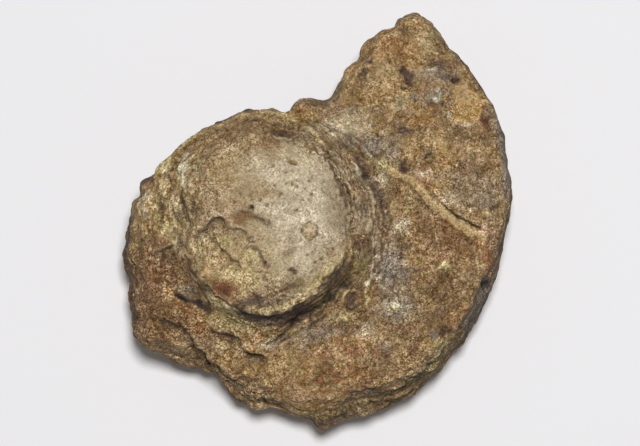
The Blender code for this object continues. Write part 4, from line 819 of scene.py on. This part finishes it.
def add_relief(p):
    """The points moved along their normals by all the relief, with the foot kept flat on the ground."""
    amount = ledge_relief(p) + crack_relief(p) + vein_relief(p) + bump_relief(p)
    amount += ROPE_HEIGHT * p.ropes + WRINKLE_HEIGHT * p.wrinkles
    amount *= p.upper
    amount += wall_beds(p) + side_relief(p) + grain(p)
    moved = p.points + p.normals * amount[:, None]
    moved[:, 2] = np.where(p.height < STANDING_HEIGHT, 0.0, np.maximum(moved[:, 2], 0.0))
    return moved


def mixed_in(colour, other, share):
    """Moves each point's colour by this share of the way to the other colour."""
    colour += (other - colour) * share[:, None]


def mottled(p):
    """The brown of the rock with soft clouds of ochre, grey and dusk in it."""
    colour = np.tile(BROWN, (len(p.points), 1))
    for cloud, strength, size, start, full, seed in CLOUDS:
        mixed_in(colour, cloud, strength * smooth(start, full, random_field(p.points / size, seed)))
    return colour


def add_wall_shade_and_beds(p, colour):
    """Painted shade in dusk brown on the steep sides, with the olive, deep brown and light olive beds of the
    rock in it.
    """
    wall = smooth(0.55 - 0.1 * p.layered, 0.85 - 0.1 * p.layered, p.steepness) * smooth(17.0, 13.0, p.height)
    wall *= 1.0 - 0.8 * p.open_side
    beds = p.bed_field(p.angle / 22.0, p.height / 0.8, 64)
    # Painted shade on the steep sides.
    mixed_in(colour, DUSK, 0.75 * wall)
    mixed_in(colour, OLIVE, 0.8 * wall * smooth(0.0, 0.3, beds))
    mixed_in(colour, DEEP_BROWN, 0.6 * wall * smooth(-0.1, -0.35, beds))
    mixed_in(colour, LIGHT_OLIVE, 0.5 * wall * smooth(0.3, 0.5, beds))


def add_patches(p, colour):
    """Ovals of colour with soft, wandering edges."""
    for x, y, length, width, patch, strength, softness, *turn in PATCHES:
        bent = p.xy + min(1.0, 0.35 * width) * p.wander + 0.9 * p.ragged
        away = share_of(bent, x, y, length, width, *turn)
        mixed_in(colour, patch, strength * p.upper * smooth(1.0 + softness / 2, 1.0 - softness, away))


def add_strokes(p, colour):
    """Bands of colour along lines."""
    xy = p.xy + 0.6 * p.ragged
    for stroke, strength, width, line in STROKES:
        distance, taper = near_line(line, xy)
        reach = smooth(1.4 * width, 0.6 * width, np.abs(distance))
        mixed_in(colour, stroke, strength * p.upper * taper * reach)


def add_specks(p, colour):
    """Scattered light and dark grains, and flecks of orange and red rust in a few places."""
    for spacing, size, speck, strength, seed in GRAINS:
        spot = smooth(size, size * 0.5, cells(p.points / spacing, seed))
        patchy = smooth(-0.1, 0.3, random_field(p.points / 4.0, seed + 5))
        mixed_in(colour, speck, strength * spot * patchy)
    orange = smooth(0.42, 0.22, cells(p.points, 81))
    red = smooth(0.36, 0.18, cells(p.points / 1.3, 82))
    for *oval, strength in FLECKS:
        place = strength * p.upper * smooth(1.3, 0.4, share_of(p.xy + p.wander, *oval))
        mixed_in(colour, ORANGE, place * orange)
        mixed_in(colour, RED, place * red)


def paint(p):
    """The colour of each point, with painted light on the ropes and wrinkles, and painted shade between
    them, in the cracks and on the steep sides.
    """
    colour = mottled(p)
    add_wall_shade_and_beds(p, colour)
    add_patches(p, colour)
    add_strokes(p, colour)
    add_specks(p, colour)
    # Painted shade in the cracks.
    for crack in p.cracks:
        mixed_in(colour, NEAR_BLACK, crack * p.upper)
    # Painted light on the ropes and wrinkles and painted shade in the valleys between them.
    painted_light_and_shade = ROPE_SHADE * np.clip(p.ropes, -0.5, 0.6) + WRINKLE_SHADE * np.clip(p.wrinkles, -0.5, 0.5)
    painted_light_and_shade *= p.upper
    # Painted shade on the steep sides, less where the side lies open to the light.
    dim = smooth(0.5 - 0.12 * p.layered, 0.9 - 0.1 * p.layered, p.steepness)
    painted_light_and_shade -= SIDE_SHADE * dim * (1.0 - 0.8 * p.open_side)
    return np.clip(colour * (1.0 + painted_light_and_shade)[:, None], 0.0, 1.0)


def store(mesh, name, kind, field, values):
    """Keeps values with the points of the mesh, for its material to read."""
    mesh.attributes.new(name, kind, "POINT").data.foreach_set(field, values.astype(np.float32).ravel())


def dress_stone(stone):
    """Gives the refined stone its relief, and keeps what its material needs."""
    mesh = stone.data
    edges = np.empty(len(mesh.edges) * 2, dtype=np.int64)
    mesh.edges.foreach_get("vertices", edges)
    edges = edges.reshape(-1, 2)
    points = even_flank(read(mesh.vertices, "co", 3) / MM - AXIS, edges)
    places = Places(points, moved_to(mesh, points))
    points = add_relief(places)
    normals = moved_to(mesh, points)
    # How deep each point lies in its small and wide hollows, for the shade the material paints into them.
    for name, steps in [("hollow_near", NEAR_STEPS), ("hollow_far", FAR_STEPS)]:
        depth = np.einsum("ij,ij->i", averaged(points, edges, steps) - points, normals)
        store(mesh, name, "FLOAT", "value", depth)
    opaque = np.ones(len(points))
    store(mesh, "stone_colour", "FLOAT_COLOR", "color", np.column_stack([paint(places), opaque]))
    store(mesh, "coil", "FLOAT_VECTOR", "vector", places.coil)
    for name, values in [("skin", places.skin), ("fibres", places.fibres), ("beds", places.beds)]:
        store(mesh, name, "FLOAT", "value", values)
    mesh.polygons.foreach_set("use_smooth", np.ones(len(mesh.polygons), dtype=bool))


def moved_to(mesh, points):
    """Moves the mesh's points, and returns the new normals."""
    mesh.vertices.foreach_set("co", ((points + AXIS) * MM).ravel())
    mesh.update()
    return read(mesh.vertex_normals, "vector", 3)


class Nodes:
    """Short calls for making and joining the nodes of a material."""

    def __init__(self, name):
        self.material = bpy.data.materials.new(name)
        self.material.use_nodes = True
        self.tree = self.material.node_tree
        self.shader = self.tree.nodes["Principled BSDF"]

    def add(self, kind, inputs=None, **settings):
        node = self.tree.nodes.new(kind)
        for key, value in settings.items():
            setattr(node, key, value)
        for key, value in (inputs or {}).items():
            self.give(node.inputs[key], value)
        return node

    def give(self, socket, value):
        if isinstance(value, bpy.types.NodeSocket):
            self.tree.links.new(value, socket)
        else:
            socket.default_value = value

    def math(self, operation, a, b=0.0):
        return self.add("ShaderNodeMath", {0: a, 1: b}, operation=operation).outputs[0]

    def product(self, first, *others):
        for other in others:
            first = self.math("MULTIPLY", first, other)
        return first

    def vector_math(self, operation, a, b):
        return self.add("ShaderNodeVectorMath", {0: a, 1: b}, operation=operation).outputs[0]

    def scaled(self, colour, share):
        return self.add("ShaderNodeVectorMath", {0: colour, "Scale": share}, operation="SCALE").outputs[0]

    def mapped(self, value, low, high, to_low, to_high):
        return self.add("ShaderNodeMapRange", {0: value, 1: low, 2: high, 3: to_low, 4: to_high}).outputs[0]

    def attribute(self, name, output="Fac"):
        return self.add("ShaderNodeAttribute", attribute_name=name).outputs[output]

    def noise(self, place, scale, detail):
        inputs = {"Vector": place, "Scale": scale, "Detail": detail, "Roughness": 0.6}
        return self.add("ShaderNodeTexNoise", inputs).outputs["Fac"]

    def grains(self, place, scale):
        """One random value for each small cell."""
        colour = self.add("ShaderNodeTexVoronoi", {"Vector": place, "Scale": scale}).outputs["Color"]
        return self.add("ShaderNodeSeparateColor", {0: colour}).outputs[0]

    def mixed(self, share, a, b, blend="MIX"):
        node = self.add("ShaderNodeMix", data_type="RGBA", blend_type=blend)
        self.give(node.inputs[0], share)
        self.give(node.inputs[6], a)
        self.give(node.inputs[7], b)
        return node.outputs[2]


def hue_clouds(n, place):
    """Faint clouds of olive and violet, with a little ochre and grey."""
    olive = n.mapped(n.noise(place, 900.0, 3.0), 0.35, 0.65, 0.0, 1.0)
    ochre = n.mapped(n.noise(place, 420.0, 2.0), 0.35, 0.65, 0.0, 1.0)
    first = n.mixed(olive, (1.02, 0.965, 1.03, 1.0), (0.98, 1.035, 0.96, 1.0))
    second = n.mixed(ochre, (1.015, 1.0, 0.965, 1.0), (0.99, 1.0, 1.02, 1.0))
    return n.mixed(n.attribute("skin"), (1.0, 1.0, 1.0, 1.0), n.mixed(1.0, first, second, "MULTIPLY"))


def light_clouds(n, place):
    """Soft lighter and darker places of two sizes."""
    small = n.mapped(n.noise(place, 650.0, 4.0), 0.3, 0.7, 0.82, 1.32)
    return n.product(small, n.mapped(n.noise(place, 240.0, 3.0), 0.3, 0.7, 0.78, 1.20))


def sandy_grain(n, place, fine, small):
    """Light and dark grains, stronger in some places and where the skin is rough."""
    large = n.grains(place, 2300.0)
    patchy = n.mapped(n.noise(place, 330.0, 2.0), 0.35, 0.65, 0.65, 1.25)
    grains = n.product(n.mapped(fine, 0.3, 0.7, 0.64, 1.36), n.mapped(small, 0.0, 1.0, 0.38, 1.62))
    grains = n.product(grains, n.mapped(large, 0.0, 1.0, 0.91, 1.09))
    return n.math("POWER", grains, n.product(patchy, n.attribute("skin")))


def along_coil(n, mask, stretch, detail, darkest, lightest):
    """Light and dark streaks that follow the coil or the beds, where the mask is on."""
    stretched = n.vector_math("MULTIPLY", n.attribute("coil", "Vector"), stretch)
    streaks = n.mapped(n.noise(stretched, 1.0, detail), 0.32, 0.68, darkest, lightest)
    return n.math("POWER", streaks, n.attribute(mask))


def flakes(n, place):
    """Fine dark lines between flakes of the skin, clear in some places only."""
    bend = n.add("ShaderNodeTexNoise", {"Vector": place, "Scale": 900.0, "Detail": 2.0}).outputs["Color"]
    bent = n.vector_math("ADD", place, n.scaled(bend, 0.0011))
    cracks = n.add("ShaderNodeTexVoronoi", {"Vector": bent, "Scale": 620.0}, feature="DISTANCE_TO_EDGE")
    lines = n.mapped(cracks.outputs["Distance"], 0.0, 0.13, 0.5, 1.04)
    patchy = n.mapped(n.noise(place, 260.0, 2.0), 0.42, 0.6, 0.0, 1.0)
    return n.math("POWER", lines, n.product(patchy, n.mapped(n.attribute("skin"), 0.75, 1.0, 0.0, 1.0)))


def lightened(n, colour, share):
    """The colour made lighter or darker, with only part of the change in its hue."""
    grey = n.add("ShaderNodeRGBToBW", {0: colour}).outputs[0]
    tint = n.mixed(0.42, colour, n.scaled((0.97, 1.05, 0.92), grey))
    change = n.scaled(tint, n.math("SUBTRACT", share, 1.0))
    return n.vector_math("MAXIMUM", n.vector_math("ADD", colour, change), (0.006, 0.004, 0.002))


def stone_material():
    """Rough limestone: the painted colour with grain, strands and flakes, painted shade in its small and
    wide hollow places and painted light on its ridges and swellings.
    """
    n = Nodes("limestone_skin")
    place = n.add("ShaderNodeTexCoord").outputs["Object"]
    fine, small = n.noise(place, 3200.0, 2.0), n.grains(place, 5600.0)
    strands = along_coil(n, "fibres", (2.6, 0.42, 0.5), 2.0, 0.5, 1.5)
    layers = along_coil(n, "beds", (0.3, 0.25, 2.6), 3.0, 0.55, 1.45)
    # Painted shade in small hollows and painted light on small ridges.
    hollows = n.mapped(n.attribute("hollow_near"), -0.12, 0.16, 1.19, 0.62)
    # Grain, strands, beds and flakes, with the painted shade and light of the small hollows and ridges, as
    # one brightness.
    light = n.product(sandy_grain(n, place, fine, small), strands, layers, flakes(n, place), hollows)
    tinted = n.mixed(1.0, n.attribute("stone_colour", "Color"), hue_clouds(n, place), "MULTIPLY")
    lit = lightened(n, tinted, n.product(light, light_clouds(n, place)))
    # Painted shade in wide hollows and painted light on broad swellings.
    wide_hollow_shade = n.mapped(n.attribute("hollow_far"), -0.8, 1.1, 1.20, 0.76)
    height = n.math("ADD", n.product(fine, 0.6), n.product(small, 0.3))
    bump = n.add("ShaderNodeBump", {"Height": height, "Strength": 0.9, "Distance": 0.00014})
    n.give(n.shader.inputs["Base Color"], n.scaled(lit, wide_hollow_shade))
    n.give(n.shader.inputs["Roughness"], n.mapped(fine, 0.3, 0.7, 0.78, 0.95))
    n.give(n.shader.inputs["Normal"], bump.outputs[0])
    return n.material


FLOOR_HALF_WIDTH = 0.6
PAPER_COLOUR = (0.82, 0.81, 0.825, 1.0)
PAPER_ROUGHNESS = 0.9


def floor():
    """A wide sheet of pale, matt paper under the stone."""
    mesh = bpy.data.meshes.new("floor")
    half = FLOOR_HALF_WIDTH
    corners = [(-half, -half, 0.0), (half, -half, 0.0), (half, half, 0.0), (-half, half, 0.0)]
    mesh.from_pydata(corners, [], [(0, 1, 2, 3)])
    n = Nodes("pale_paper")
    n.give(n.shader.inputs["Base Color"], PAPER_COLOUR)
    n.give(n.shader.inputs["Roughness"], PAPER_ROUGHNESS)
    mesh.materials.append(n.material)
    obj = linked("floor", mesh)


VIEW_CENTRE = np.array([0.17, -0.81, 12.0])  # the point in the middle of the photograph, in the CAD frame
VIEW_DISTANCE = 400.0
VIEW_ELEVATION = 82.0
LENS = 150.0
FLASH_ABOVE_VIEW = 11.0
FLASH_TO_THE_RIGHT = 2.5
FLASH_DISTANCE = 520.0
FLASH_TARGET = Vector((0.0, 0.0, 0.01))
FLASH_SIZE = 0.11
FLASH_POWER = 2.5
SKY_STRENGTH = 0.16


def camera():
    """Looks steeply down on the stone, as the photograph does."""
    data = bpy.data.cameras.new("camera")
    data.lens = LENS
    data.sensor_width = 36.0
    data.clip_start = 0.01
    obj = linked("camera", data)
    up = math.radians(VIEW_ELEVATION)
    obj.location = (VIEW_CENTRE + VIEW_DISTANCE * np.array([0.0, -math.cos(up), math.sin(up)])) * MM
    obj.rotation_euler = Euler((math.pi / 2 - up, 0.0, 0.0))
    bpy.context.scene.camera = obj


def flash():
    """A soft round lamp above the camera and a little to its right."""
    data = bpy.data.lights.new("flash", "AREA")
    data.shape = "DISK"
    data.size = FLASH_SIZE
    data.energy = FLASH_POWER
    obj = linked("flash", data)
    up = math.radians(VIEW_ELEVATION + FLASH_ABOVE_VIEW)
    way = np.array([math.sin(math.radians(FLASH_TO_THE_RIGHT)), -math.cos(up), math.sin(up)])
    place = Vector((VIEW_CENTRE + FLASH_DISTANCE * way) * MM)
    obj.location = place
    obj.rotation_euler = (FLASH_TARGET - place).to_track_quat("-Z", "Y").to_euler()


def sky():
    """A dim, even light from all sides."""
    world = bpy.data.worlds.new("world")
    world.use_nodes = True
    world.node_tree.nodes["Background"].inputs["Color"].default_value = (1.0, 1.0, 1.0, 1.0)
    world.node_tree.nodes["Background"].inputs["Strength"].default_value = SKY_STRENGTH
    bpy.context.scene.world = world
    bpy.context.scene.view_settings.view_transform = "Standard"


def main():
    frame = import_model()
    stone = refined_stone(frame["nodes"]["fossil_snail"])
    dress_stone(stone)
    stone.data.materials.append(stone_material())
    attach(stone, "root")
    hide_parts("fossil_snail")
    floor()
    camera()
    flash()
    sky()


main()
